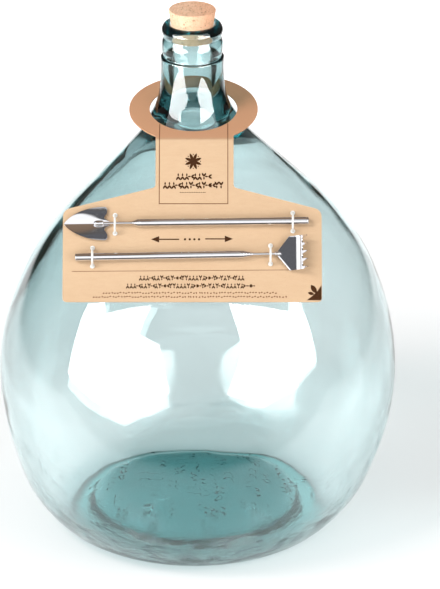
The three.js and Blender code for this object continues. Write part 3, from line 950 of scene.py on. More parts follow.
def makeTieTree():
    tree, given, made = newGeometryTree("tieLoop", [
        ("Foot", "NodeSocketObject"),
        ("Half Spacing", "NodeSocketFloat"),
        ("Arch Height", "NodeSocketFloat"),
        ("Wire Radius", "NodeSocketFloat"),
        ("Foot Level", "NodeSocketFloat"),
        ("Material", "NodeSocketMaterial"),
    ])
    link = tree.links.new
    arc = tree.nodes.new("GeometryNodeCurveArc")
    arc.inputs["Resolution"].default_value = tie["archSteps"]
    arc.inputs["Radius"].default_value = 1.0
    arc.inputs["Start Angle"].default_value = tie["archInset"]
    arc.inputs["Sweep Angle"].default_value = math.pi - 2 * tie["archInset"]
    size = tree.nodes.new("ShaderNodeCombineXYZ")
    link(given.outputs["Half Spacing"], size.inputs[0])
    link(given.outputs["Arch Height"], size.inputs[1])
    size.inputs[2].default_value = 1.0
    stretched = tree.nodes.new("GeometryNodeTransform")
    link(arc.outputs["Curve"], stretched.inputs["Geometry"])
    link(size.outputs[0], stretched.inputs["Scale"])
    upright = tree.nodes.new("GeometryNodeTransform")
    upright.inputs["Rotation"].default_value = (math.pi / 2, 0, math.pi / 2)
    link(stretched.outputs[0], upright.inputs["Geometry"])
    ring = tree.nodes.new("GeometryNodeCurvePrimitiveCircle")
    ring.inputs["Resolution"].default_value = tie["wireSides"]
    link(given.outputs["Wire Radius"], ring.inputs["Radius"])
    wire = tree.nodes.new("GeometryNodeCurveToMesh")
    wire.inputs["Fill Caps"].default_value = True
    link(upright.outputs[0], wire.inputs["Curve"])
    link(ring.outputs["Curve"], wire.inputs["Profile Curve"])
    ends = tree.nodes.new("GeometryNodeMeshLine")
    ends.mode = "END_POINTS"
    ends.inputs["Count"].default_value = 2
    for sign, socket in ((-1, "Start Location"), (1, "Offset")):
        offset = tree.nodes.new("ShaderNodeMath")
        offset.operation = "MULTIPLY"
        offset.inputs[1].default_value = sign
        link(given.outputs["Half Spacing"], offset.inputs[0])
        spot = tree.nodes.new("ShaderNodeCombineXYZ")
        link(offset.outputs[0], spot.inputs[1])
        link(given.outputs["Foot Level"], spot.inputs[2])
        link(spot.outputs[0], ends.inputs[socket])
    foot = tree.nodes.new("GeometryNodeObjectInfo")
    link(given.outputs["Foot"], foot.inputs["Object"])
    feet = tree.nodes.new("GeometryNodeInstanceOnPoints")
    link(ends.outputs["Mesh"], feet.inputs["Points"])
    link(foot.outputs["Geometry"], feet.inputs["Instance"])
    together = tree.nodes.new("GeometryNodeJoinGeometry")
    link(feet.outputs[0], together.inputs[0])
    link(wire.outputs[0], together.inputs[0])
    real = tree.nodes.new("GeometryNodeRealizeInstances")
    link(together.outputs[0], real.inputs[0])
    painted = tree.nodes.new("GeometryNodeSetMaterial")
    link(real.outputs[0], painted.inputs["Geometry"])
    link(given.outputs["Material"], painted.inputs["Material"])
    link(painted.outputs[0], made.inputs[0])
    return tree


def makeTies():
    front = card["thickness"] / 2 + tie["gap"]
    outline = [(radius, level - front) for radius, level in tie["barb"]]
    outline += [(radius, level + front) for radius, level in tie["collar"]]
    points, faces = turnedGrid(outline, tie["footSides"])
    foot = objectFrom("tieFoot", meshFrom("tieFoot", [Vector(p) * mm for p in points], faces))
    material = makeTieMaterial()
    tree = makeTieTree()
    for name, (node, x, down) in tie["spots"].items():
        mesh = runTree(tree, name, {
            "Foot": foot, "Half Spacing": tie["footHalf"] * mm,
            "Arch Height": tie["archHeight"] * mm, "Wire Radius": tie["radius"] * mm,
            "Foot Level": 0.0, "Material": material,
        })
        mesh.transform(onPanel(x, down, 0))
        mesh.shade_smooth()
        mesh.set_sharp_from_angle(angle=math.radians(40))
        piece = objectFrom(name, mesh)
        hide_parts(node)
        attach(piece, "root")
    bpy.data.objects.remove(foot)


def onPanel(x, down, out, turn=0.0):
    # the panel's own frame: X right, Y up the slope, Z out of the card's face
    basis = Matrix.Rotation(math.pi / 2 - panelLean, 4, "X")
    start = Matrix.Translation(Vector(card["foldAt"]) * mm)
    spot = Matrix.Translation(Vector((x - card["centreX"], -down, out)) * mm)
    return start @ basis @ spot @ Matrix.Rotation(turn, 4, "Z")


makeCard()
print("card made")
makeTies()
print("ties made")


# print on the card, all plain ornament

printing = {
    "ink": (0.04, 0.014, 0.005, 1),
    "paleInk": (0.15, 0.068, 0.033, 1),
    "worn": (500, (1, 1, 1), 0.3),
    "wornShare": 0.05,
    "roughness": 0.7,
    "specular": 0.02,
    "bump": (0.00005, 0.4),
    "lift": 0.05,  # how far the ink stands out of the card, and how far it reaches in
    "sink": 0.02,
    "line": 0.75,
    "frame": (-34.4, 28.6, 60.5),  # left, right and how far down
    "rule": (-114, 124.1, 93.5, 122.6, 0.5),
    "arrows": [(-41.9, -16.0, 94.0), (33.4, 7.8, 93.6)],
    "arrowHead": (7.6, 3.0),
    "arrowLine": 1.1,
    "rosette": (-3.2, 20.5, 8.2),
    "rosetteLeaves": 8,
    "rosetteLeafWidth": 0.34,
    "rosetteDots": (0.8, 0.55),  # how far out, as a share of its size, and their radius
    "dotSides": 10,
    "bowLeaves": [(1, 0.42, 62), (1, 0.42, 118), (0.8, 0.36, -90)],  # length, width, degrees
    "dashLeaf": (-1, 0, 2, 1.3, 0.35),
    "corner": [(100.6, -151.0), (113.2, -151.0), (114.2, -150.1), (114.2, -136.8), (110.6, -142.2),
               (106.2, -146.6)],
    "cornerLeaves": [(109.6, -144.6, 9.4, 4.6, 122), (107.4, -145.4, 6.0, 3.0, 165)],
    "rows": [  # motif, start, end, down, count, size
        ("bow", -17.0, 10.6, 34.9, 8, 4.0), ("bow", -29, 22.4, 43.1, 14, 4.0),
        ("dot", -15, 7.6, 49.9, 15, 0.5), ("dot", -10.6, 2.2, 94.0, 4, 1.1),
        ("bow", -51.2, 42.2, 130.2, 30, 2.95), ("bow", -63.0, 51.4, 137.6, 36, 2.95),
        ("dash", -85, 72.4, 144.1, 62, 1.0), ("dash", -94, 81.5, 147.8, 70, 1.0),
    ],
    "rowSeed": 4,
}


class FlatPrint:
    def __init__(self):
        self.points, self.faces, self.tones = [], [], []

    def add(self, outline, tone=0):
        start = len(self.points)
        self.points += [(p[0], p[1]) for p in outline]
        self.faces.append(list(range(start, start + len(outline))))
        self.tones.append(tone)

    def bar(self, x0, y0, x1, y1, width, tone=0):
        way = Vector((x1 - x0, y1 - y0)).normalized() * width / 2
        side = Vector((-way.y, way.x))
        self.add([(x0 + side.x, y0 + side.y), (x0 - side.x, y0 - side.y),
                  (x1 - side.x, y1 - side.y), (x1 + side.x, y1 + side.y)], tone)


def leaf(x, y, length, width, turn):
    # a pointed leaf that starts at x, y
    outline = []
    for i in range(9):
        t = i / 8
        outline.append((t * length, width / 2 * math.sin(math.pi * t) ** 0.8))
    outline += [(a, -b) for a, b in reversed(outline[1:-1])]
    c, s = math.cos(turn), math.sin(turn)
    return [(x + a * c - b * s, y + a * s + b * c) for a, b in outline]


def makeRowTree():
    tree, given, made = newGeometryTree("ornamentRow", [
        ("Motif", "NodeSocketObject"),
        ("Start", "NodeSocketVector"),
        ("End", "NodeSocketVector"),
        ("Count", "NodeSocketInt"),
        ("Size", "NodeSocketFloat"),
        ("Material", "NodeSocketMaterial"),
    ])
    link = tree.links.new
    line = tree.nodes.new("GeometryNodeMeshLine")
    line.mode = "END_POINTS"
    link(given.outputs["Count"], line.inputs["Count"])
    link(given.outputs["Start"], line.inputs["Start Location"])
    link(given.outputs["End"], line.inputs["Offset"])
    motif = tree.nodes.new("GeometryNodeObjectInfo")
    link(given.outputs["Motif"], motif.inputs["Object"])
    rows = tree.nodes.new("GeometryNodeInstanceOnPoints")
    link(line.outputs["Mesh"], rows.inputs["Points"])
    link(motif.outputs["Geometry"], rows.inputs["Instance"])
    link(given.outputs["Size"], rows.inputs["Scale"])
    turns = tree.nodes.new("FunctionNodeRandomValue")
    turns.data_type = "INT"
    whole = [socket for socket in turns.inputs if socket.type == "INT"]
    whole[0].default_value, whole[1].default_value = 0, 3
    turns.inputs["Seed"].default_value = printing["rowSeed"]
    quarter = tree.nodes.new("ShaderNodeMath")
    quarter.operation = "MULTIPLY"
    quarter.inputs[1].default_value = math.pi / 2
    link([socket for socket in turns.outputs if socket.type == "INT"][0], quarter.inputs[0])
    spin = tree.nodes.new("ShaderNodeCombineXYZ")
    link(quarter.outputs[0], spin.inputs[2])
    link(spin.outputs[0], rows.inputs["Rotation"])
    real = tree.nodes.new("GeometryNodeRealizeInstances")
    link(rows.outputs[0], real.inputs[0])
    painted = tree.nodes.new("GeometryNodeSetMaterial")
    link(real.outputs[0], painted.inputs["Geometry"])
    link(given.outputs["Material"], painted.inputs["Material"])
    link(painted.outputs[0], made.inputs[0])
    return tree


def flatObject(name, outlines):
    flat = FlatPrint()
    for outline in outlines:
        flat.add(outline)
    mesh = bpy.data.meshes.new(name)
    mesh.from_pydata([(x, y, 0) for x, y in flat.points], [], flat.faces)
    return objectFrom(name, mesh)


def makePrintMaterial(name, colour):
    material, shader, _ = newMaterial(name)
    tree = material.node_tree
    worn, specks = grain(material, *printing["worn"])
    tone = mixed(tree, product(tree, worn, printing["wornShare"]), colour, cardLook["faceDark"])
    tree.links.new(tone, shader.inputs["Base Color"])
    shader.inputs["Roughness"].default_value = printing["roughness"]
    shader.inputs["Specular IOR Level"].default_value = printing["specular"]
    bumpOn(material, shader, specks, *printing["bump"])
    return material


def printLines(flat):
    left, right, low = printing["frame"]
    width = printing["line"]
    for x in (left, right):  # from the hole's edge over the fold
        reach = card["creaseReach"] - math.sqrt(card["collarHole"] ** 2 - (x - card["collarX"]) ** 2)
        flat.bar(x, reach - 1, x, -low, width, 1)
    flat.bar(left - width / 2, -low, right + width / 2, -low, width, 1)
    x0, y0, x1, y1, thin = printing["rule"]
    flat.bar(x0, -y0, x1, -y1, thin, 1)
    long, half = printing["arrowHead"]
    for tip, end, down in printing["arrows"]:
        way = 1 if tip > end else -1
        back = tip - way * long
        flat.bar(min(back, end), -down, max(back, end), -down, printing["arrowLine"])
        arrow = [(tip, -down), (back, -down + half), (back, -down - half)]
        flat.add(arrow if way < 0 else arrow[::-1])


def printLeaves(flat):
    x, y, size = printing["rosette"]
    count = printing["rosetteLeaves"]
    turns = [2 * math.pi / count * i for i in range(count)]
    for turn in turns:
        flat.add(leaf(x, -y, size, size * printing["rosetteLeafWidth"], turn + math.pi / count))
    share, radius = printing["rosetteDots"]
    for turn in turns:
        flat.add(circle(x + size * share * math.cos(turn), -y + size * share * math.sin(turn), radius,
                        printing["dotSides"]))
    flat.add(printing["corner"])
    for x, y, length, width, turn in printing["cornerLeaves"]:
        flat.add(leaf(x, y, length, width, math.radians(turn)))


def printRows(flat, material):
    bow = [leaf(0, 0, length, width, math.radians(turn))
           for length, width, turn in printing["bowLeaves"]]
    motifs = {
        "bow": flatObject("bowMotif", bow),
        "dot": flatObject("dotMotif", [circle(0, 0, 1, printing["dotSides"])]),
        "dash": flatObject("dashMotif", [leaf(*printing["dashLeaf"])]),
    }
    tree = makeRowTree()
    for motif, start, end, down, count, size in printing["rows"]:
        row = runTree(tree, "row", {
            "Motif": motifs[motif], "Start": (start, -down, 0), "End": (end, -down, 0),
            "Count": count, "Size": size, "Material": material,
        })
        tone = 1 if motif == "dash" else 0
        for face in row.polygons:
            flat.add([row.vertices[i].co[:2] for i in face.vertices], tone)
        bpy.data.meshes.remove(row)
    for motif in motifs.values():
        bpy.data.objects.remove(motif)


def raisedPrint(flat):
    # every flat shape gets a thickness, and is cut and bent where the card is
    shape = bmesh.new()
    for face, tone in zip(flat.faces, flat.tones):
        outline = [Vector((flat.points[i][0] - card["centreX"], flat.points[i][1])) for i in face]
        area = sum(a.x * b.y - b.x * a.y for a, b in zip(outline, [*outline[1:], outline[0]]))
        if area < 0:
            outline.reverse()
        top = [shape.verts.new((p.x, p.y, 1)) for p in outline]
        bottom = [shape.verts.new((p.x, p.y, 0)) for p in outline]
        made = [shape.faces.new(top), shape.faces.new(bottom[::-1])]
        for i in range(len(top)):
            j = (i + 1) % len(top)
            made.append(shape.faces.new((top[j], top[i], bottom[i], bottom[j])))
        for part in made:
            part.material_index = tone
    for share in card["foldRows"]:
        bmesh.ops.bisect_plane(shape, geom=[*shape.verts, *shape.edges, *shape.faces], dist=1e-5,
                               plane_co=(0, share * foldHalf, 0), plane_no=(0, 1, 0))
    face = card["thickness"] / 2
    for v in shape.verts:
        out = face + printing["lift"] if v.co.z > 0.5 else face - printing["sink"]
        v.co = onCard(v.co.x, v.co.y, out) * mm
    mesh = bpy.data.meshes.new("cardPrint")
    shape.to_mesh(mesh)
    shape.free()
    return mesh


def makePrint():
    dark = makePrintMaterial("brownInk", printing["ink"])
    pale = makePrintMaterial("paleBrownInk", printing["paleInk"])
    flat = FlatPrint()
    printLines(flat)
    printLeaves(flat)
    printRows(flat, dark)
    piece = objectFrom("cardPrint", raisedPrint(flat), dark, pale)
    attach(piece, "root")


makePrint()
print("print made")


# telescopic tools

tube = {
    "sides": 44,
    "radii": [3.75, 3.1, 2.45, 1.85],
    "wall": 0.3,
    "rod": 1.3,
    "collarRise": [0.2, 0.2, 0.2, 0.15],
    "collarLength": 3,
    "crimpLength": 2.5,
    "crimpGap": 0.1,
    "groove": 0.1,
    "bevel": 0.15,
    "edgeRing": 0.3,  # a close ring beside an end and beside a collar keeps the shading crisp
    "collarRing": 0.5,
    "plugHead": 2.8,
    "plugSeat": 0.3,
    "plugSpigot": 6,
    "plugGap": 0.25,
    "plugDome": 1.5,
    "stopGap": 0.3,
    "cardGap": 0.3,
    "extended": 710,  # the whole tool, pulled out
}
trowel = {
    "name": "trowel",
    "mouth": (-54.5, 79.4),  # the grip tube's front end: how far right, and down from the fold
    "turn": math.pi + math.radians(0.68),
    "gripLength": 157.7,
    "step": 1.5,  # how far each section shows out of the one round it
    "rodReach": 39,
    "headReach": 67.2,
    "bodies": ["root", "trowel_first", "trowel_second", "trowel_third", "trowel_head"],
}
rake = {
    "name": "rake",
    "mouth": (43.7, 108.9),
    "turn": math.radians(1.03),
    "gripLength": 155.4,
    "step": 2.5,
    "rodReach": 32.5,
    "headReach": 57.6,
    "bodies": ["root", "rake_first", "rake_second", "rake_third", "rake_tines"],
}
blade = {
    "back": 27.4,
    "halfWidth": 15.7,
    "thickness": 0.8,
    "edgeThinning": 0.35,
    "pointPowers": (2.3, 0.82),  # how its outline narrows to the point
    "cornerShare": 0.07,
    "cornerWidth": 0.84,
    "creaseHeight": -2.4,
    "creaseSlope": 0.42,
    "creaseReach": (1.6, 9),
    "tipDrop": 0.6,
    "hollow": (2.8, 0.42, 0.22),  # depth, place and width of the back edge's two hollows
    "tang": (4.2, 0.2),  # length and width
    "cells": (48, 60),
    "socket": (30.7, 40.1, 2.6),  # start, end and radius
}
head = {
    "apex": 30.2,
    "apexHalf": 2,
    "shoulder": 41,
    "bend": 46,
    "halfWidth": 15.9,
    "thickness": 1,
    "rise": [(48.5, 0.65), (51, 2.1), (52.1, 3.2), (53, 4.7)],  # the tines' way up after the bend
    "tipInset": 0.4,
    "tipRise": 11.6,
    "rimHeight": (-1.1, -0.1),  # how far the lower and the upper slanted edge are rounded over
    "rimWidth": 1.3,
    "rimRound": 0.85,
    "rimRows": (0.3, 0.5, 0.75, 1.0, 1.3, 1.7),
    "tines": 5,
    "tineStart": 9.3,
    "tineHalf": 1.25,
    "tineTipHalf": 0.35,
    "tineNarrows": 1.4,
    "webDip": 0.8,
    "tipRound": 0.3,
    "grid": 0.8,
    "socket": (27.5, 34, 2.3),
}
socketShape = {
    "sides": 36,
    "back": [(0.9, 0.1), (0.3, 0.6), (0, 1.5)],  # less than its radius, and on from its start
    "dome": 4.5,
}
chromeLook = {
    "bright": (0.80, 0.80, 0.82, 1),
    "dull": (0.74, 0.74, 0.765, 1),
    "smears": (60, (1, 3, 3), 0.3),
    "roughness": (0.05, 0.11),
    "bump": (0.00002, 0.2),
}


def makeChromeMaterial():
    material, shader, _ = newMaterial("brightChrome")
    tree = material.node_tree
    smears, specks = grain(material, *chromeLook["smears"])
    tree.links.new(mixed(tree, smears, chromeLook["bright"], chromeLook["dull"]),
                   shader.inputs["Base Color"])
    tree.links.new(ranged(tree, smears, 0, 1, *chromeLook["roughness"]), shader.inputs["Roughness"])
    shader.inputs["Metallic"].default_value = 1.0
    bumpOn(material, shader, specks, *chromeLook["bump"])
    return material


chromeMaterial = makeChromeMaterial()


def finishToolPiece(name, mesh, matrix, node, body):
    mesh.transform(Matrix.Scale(mm, 4))
    mesh.transform(matrix)
    mesh.shade_smooth()
    mesh.set_sharp_from_angle(angle=math.radians(38))
    piece = objectFrom(name, mesh, chromeMaterial)
    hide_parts(node)
    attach(piece, body)


def tubeOutline(index, length):
    outer = tube["radii"][index]
    bore = outer - tube["wall"]
    inner = tube["radii"][index + 1] if index + 1 < len(tube["radii"]) else tube["rod"]
    crimped = inner + tube["crimpGap"]
    crimp, bevel, groove = tube["crimpLength"], tube["bevel"], tube["groove"]
    front = [(crimped, -crimp), (crimped, -groove), (crimped + groove, 0),
             (outer - bevel - groove / 2, 0), (outer - groove / 2, -bevel / 2), (outer, -bevel)]
    front += [(outer - groove * deep, -crimp - groove * back)
              for deep, back in ((0, 1), (1, 3), (1, 5), (0, 7), (0, 10))]
    back = [(outer, -length + tube["edgeRing"]), (outer, -length), (bore, -length),
            (bore, -crimp - tube["wall"])]
    if index > 0:
        collar = outer + tube["collarRise"][index - 1]
        start = -length + tube["collarLength"]
        back = [(outer, start + tube["collarRing"]), (outer, start + bevel), (collar, start),
                (collar, -length), *back[2:]]
    return [*front, *back][::-1]


def rodOutline(start, end):
    radius, stop = tube["rod"], start + tube["collarLength"]
    collar = radius + tube["collarRise"][-1]
    return [(0, start), (collar, start), (collar, stop), (radius, stop + tube["bevel"]),
            (radius, stop + tube["collarRing"]), (radius, end - tube["edgeRing"]), (radius, end),
            (0, end)]


def plugOutline(gripLength):
    radius = tube["radii"][0]
    spigot = radius - tube["wall"] - tube["plugGap"]
    face = -gripLength + tube["plugHead"] - tube["plugSeat"]
    high = tube["plugDome"]
    dome = [(radius * math.sin(a), -gripLength + high - high * math.cos(a))
            for a in np.linspace(0, math.pi / 2, 9)]
    return [*dome, (radius, face), (spigot, face), (spigot, face + tube["plugSpigot"]),
            (0, face + tube["plugSpigot"])]


def gridSolid(name, across, along, spotAt):
    # a closed slab of across by along cells, whose two faces come from spotAt(share, side, face)
    count = (across + 1) * (along + 1)
    points = [spotAt(i / along, 2 * j / across - 1, face)
              for face in (1, -1) for i in range(along + 1) for j in range(across + 1)]

    def at(i, j, face):
        return (0 if face > 0 else count) + i * (across + 1) + j

    faces = []
    for i in range(along):
        for j in range(across):
            faces.append([at(i, j, 1), at(i + 1, j, 1), at(i + 1, j + 1, 1), at(i, j + 1, 1)])
            faces.append([at(i, j, -1), at(i, j + 1, -1), at(i + 1, j + 1, -1), at(i + 1, j, -1)])
    rim = ([(i, 0) for i in range(along)] + [(along, j) for j in range(across)]
           + [(i, across) for i in range(along, 0, -1)] + [(0, j) for j in range(across, 0, -1)])
    for (i, j), (k, m) in zip(rim, [*rim[1:], rim[0]]):
        faces.append([at(i, j, -1), at(k, m, -1), at(k, m, 1), at(i, j, 1)])
    return meshFrom(name, points, faces)


def socketMesh(start, end, radius):
    outline = [(0, start), *((radius - less, start + on) for less, on in socketShape["back"])]
    outline += [(radius * math.sqrt(1 - t * t), end - socketShape["dome"] * (1 - t))
                for t in np.linspace(0, 0.98, 9)]
    points, faces = turnedGrid([*outline, (0, end)], socketShape["sides"])
    return meshFrom("socket", alongX(points), faces)


def makeBladeMesh(tool):
    # two wings that rise steeply from a crease and then flatten
    length = tool["headReach"] - blade["back"]
    narrows, rounds = blade["pointPowers"]
    depth, hollowAt, hollowWidth = blade["hollow"]
    tangLength, tangWidth = blade["tang"]

    def halfWidth(share):
        corner = max(0.0, 1 - share / blade["cornerShare"])
        rounded = blendOf(blade["cornerWidth"], 1, math.sqrt(1 - corner ** 2))
        return blade["halfWidth"] * rounded * (1 - 0.999 * share ** narrows) ** rounds

    def spotAt(share, side, face):
        apart = halfWidth(share) * abs(side)
        reach = blendOf(*blade["creaseReach"], share ** 1.3)
        rise = blade["creaseSlope"] * reach * (1 - math.exp(-apart / reach))
        level = blade["creaseHeight"] + rise - blade["tipDrop"] * share ** 2
        thick = blade["thickness"] * (1 - blade["edgeThinning"] * abs(side) ** 6)
        back = depth * math.exp(-((abs(side) - hollowAt) / hollowWidth) ** 2)
        back -= tangLength * math.exp(-(side / tangWidth) ** 2)
        return (blade["back"] + length * share + back * (1 - share) ** 5, halfWidth(share) * side,
                level + face * thick / 2)

    leafMesh = gridSolid("leaf", *blade["cells"], spotAt)
    return joined("bladeMesh", [leafMesh, socketMesh(*blade["socket"])])


def makeHeadMesh(tool):
    half, bend = head["halfWidth"], head["bend"]
    tip = (tool["headReach"] - head["tipInset"], head["tipRise"])
    rise = spline([(bend, 0), *head["rise"], tip], 60)
    reach = np.concatenate([[0], np.cumsum(np.hypot(*np.diff(rise, axis=0).T))])
    tineStart, tipReach = head["tineStart"], float(reach[-1])
    pitch = 2 * (half - head["tineHalf"]) / (head["tines"] - 1)

    dip = head["webDip"]  # the edge between two tines is a half ring

    outline = [(head["apex"], -head["apexHalf"]), (head["shoulder"], -half)]
    for k in range(head["tines"]):
        middle = -half + head["tineHalf"] + pitch * k
        low = [(bend + blendOf(tineStart + dip, tipReach - head["tipRound"], t),
                middle - blendOf(head["tineHalf"], head["tineTipHalf"], t ** head["tineNarrows"]))
               for t in np.linspace(0, 1, 6)]
        high = [(x, 2 * middle - y) for x, y in reversed(low)]
        if k > 0:
            near, far = middle - pitch + head["tineHalf"], middle - head["tineHalf"]
            for t in np.linspace(0, math.pi, 9)[1:-1]:
                y = (near + far) / 2 - (far - near) / 2 * math.cos(t)
                outline.append((bend + tineStart + dip - 2 * dip * math.sin(t), y))
        outline += [*low, (bend + tipReach, middle), *high]
    outline += [(head["shoulder"], half), (head["apex"], head["apexHalf"])]

    slant = Vector((head["shoulder"] - head["apex"], half - head["apexHalf"])).normalized()

    def riseAt(far, axis):
        return float(np.interp(far, reach, rise[:, axis]))

    def bendUp(x, y, out):
        far = x - bend
        if far > 0:
            ahead, run = (riseAt(far + 0.2, axis) - riseAt(far - 0.2, axis) for axis in (1, 0))
            tilt = math.atan2(ahead, max(run, 1e-6))
            return Vector((riseAt(far, 0) - math.sin(tilt) * out, y,
                           riseAt(far, 1) + math.cos(tilt) * out))
        lift = 0.0
        if x < head["shoulder"] + 1:
            away = (x - head["apex"]) * slant.y - (abs(y) - head["apexHalf"]) * slant.x
            inside = min(max(away / head["rimWidth"], 0.0), 1.0)
            rounded = 1 - math.sqrt(1 - (1 - inside) ** 2 * head["rimRound"])
            lift = head["rimHeight"][0 if y < 0 else 1] * rounded
            lift *= smooth(x, head["apex"], head["apex"] + 2)
        return Vector((x, y, lift + out))

    rows = []
    for inset in head["rimRows"]:  # close rows of points along the slanted edges
        for t in np.linspace(0.06, 0.985, 44):
            x = blendOf(head["apex"], head["shoulder"], t) + inset * slant.y
            y = blendOf(head["apexHalf"], half, t) - inset * slant.x
            rows += [(x, y), (x, -y)]
    fan = sheetSolid("fan", outline, [], head["thickness"], bendUp, rows, head["grid"])
    fan.transform(Matrix.Scale(1 / mm, 4))
    return joined("headMesh", [fan, socketMesh(*head["socket"])])


def makeTool(tool, makeEnd, endName, endNode):
    travel = (tube["extended"] - tool["headReach"] - tool["gripLength"]) / len(tube["radii"])
    collarFront = -tube["crimpLength"] - tube["wall"] - tube["stopGap"] - travel
    out = card["thickness"] / 2 + tube["cardGap"] + tube["radii"][0]
    matrix = onPanel(*tool["mouth"], out, tool["turn"])
    name = tool["name"]

    def lathe(label, outline, shift, node, body, closed=False):
        points, faces = turnedGrid(outline, tube["sides"], closed)
        moved = [(x + shift, y, z) for x, y, z in alongX(points)]
        finishToolPiece(name + label, meshFrom(name + label, moved, faces), matrix, node, body)

    lathe("GripTube", tubeOutline(0, tool["gripLength"] - tube["plugHead"]), 0,
          f"{name}_grip_tube", "root", True)
    lathe("EndPlug", plugOutline(tool["gripLength"]), 0, f"{name}_end_plug", "root")
    for index in (1, 2, 3):
        length = tool["step"] - collarFront + tube["collarLength"]
        lathe(f"Section{index}", tubeOutline(index, length), tool["step"] * index,
              f"{name}_section_{index}", tool["bodies"][index], True)
    rodBack = tool["step"] * 3 + collarFront - tube["collarLength"]
    lathe("Rod", rodOutline(rodBack, tool["rodReach"]), 0, f"{name}_rod", tool["bodies"][4])
    finishToolPiece(endName, makeEnd(tool), matrix, endNode, tool["bodies"][4])


makeTool(trowel, makeBladeMesh, "trowelBlade", "trowel_blade")
makeTool(rake, makeHeadMesh, "rakeHead", "rake_head")
print("tools made")


# studio: floor, two large softboxes, dim room, camera

studio = {  # places in metres, with the bottle standing on the origin
    "floorSize": 60.0,
    "floorCells": 12,
    "floorColour": (0.86, 0.86, 0.86, 1),
    "floorDark": (0.08, 0.065, 0.05, 1),
    "floorLevel": -0.0002,  # a hair under the bottle
    "floorRoughness": 0.9,
    "floorSpecular": 0.1,
    "floorGlow": (0.14, 0.9),  # strengths near the bottle and far from it
    "glowFrom": (0.35, 1.3),
    "sweepHalf": (0.55, 0.70),  # half width of the bright sweep that glass and metal see
    "glossHalf": (0.9, 1.4),  # metal and the glass's own sheen see it wider
    "nearFloor": (0.30, 0.46),
    "asideFrom": (0.06, 0.13),
    "behindFrom": (0.2, 0.3),
    "focused": 0.34,  # light that the round glass gathers beside itself
    "middleDim": 0.12,
    "stripFar": (-1.6, -1.2),  # a dark strip of floor in front, for metal and the glass's sheen
    "stripNear": (-0.38, -0.32),
    "fill": (0.45, 0.45, 0.45, 1),  # what matt surfaces see of the room
    "backdrop": (0.93, 0.935, 0.94, 1),
    "key": {"at": (-1.35, -1.10, 1.75), "aim": (0, 0, 0.2), "size": 0.9, "power": 38.0},
    "camera": {"at": (0.0214, -3.43, 1.77), "down": 24.22, "lens": 241.02, "sensor": 36,
               "clip": (0.05, 200)},
    "softboxes": {  # strengths for matt surfaces, for glass and for metal, then the corners
        "leftSoftbox": (3.8, 19.0, 2.3, [
            (-1.0, -0.21, 0.64), (-0.54, -0.76, 0.94), (-0.55, -0.74, 0.59), (-0.40, -0.92, 0.58),
            (-0.28, -1.07, 0.29), (-0.57, -0.72, 0.05), (-0.94, -0.28, 0.20)]),
        "rightSoftbox": (3.8, 19.0, 2.3, [
            (0.35, -0.92, 1.10), (0.91, -0.36, 0.70), (0.89, -0.39, 0.25), (0.50, -0.77, 0.14),
            (0.27, -1.00, 0.25), (0.40, -0.88, 0.50)]),
        "leftSoftboxTop": (0.0, 3.0, 1.6, [
            (-1.0, -0.21, 0.64), (-1.04, -0.17, 0.98), (-0.42, -0.90, 1.12), (-0.43, -0.89, 1.02),
            (-0.54, -0.76, 0.94)]),
        "rightSoftboxTop": (0.0, 3.0, 1.6, [
            (0.35, -0.92, 1.10), (0.34, -0.93, 1.42), (1.0, -0.27, 1.42), (0.91, -0.36, 0.70)]),
        "overheadStrip": (0.0, 1.5, 0.7, [
            (-0.055, -0.58, 0.99), (-0.055, -0.36, 1.11), (0.15, -0.36, 1.11), (0.15, -0.58, 0.99)]),
    },
    "room": [(0.0, (0.20, 0.19, 0.18, 1)), (0.60, (0.07, 0.07, 0.075, 1)),
             (0.71, (0.09, 0.09, 0.10, 1)), (0.745, (0.14, 0.145, 0.16, 1)),
             (0.80, (0.12, 0.11, 0.10, 1)), (0.88, (0.25, 0.175, 0.125, 1)),
             (1.0, (0.30, 0.21, 0.15, 1))],
    "frontWall": (1.3, 1.3, 1.3, 1),
    "frontTop": (0.66, 0.70),  # sine of the height where the bright front ends
    "frontSide": (0.55, 0.75),  # cosine of the angle from straight ahead
    "backWall": (0.80, 0.82, 0.84, 1),
    "backSide": (0.70, 0.86),
    "backTop": (0.40, 0.55),
    "backMiddle": (0.14, 0.24),
}


def seenByGloss(tree):
    # 1 for rays that left glass or metal, 0 for the camera's own and for diffuse ones
    light = tree.nodes.new("ShaderNodeLightPath")
    gloss = math2(tree, "MAXIMUM", light.outputs["Is Glossy Ray"],
                  light.outputs["Is Transmission Ray"])
    return gloss, light.outputs["Is Camera Ray"]


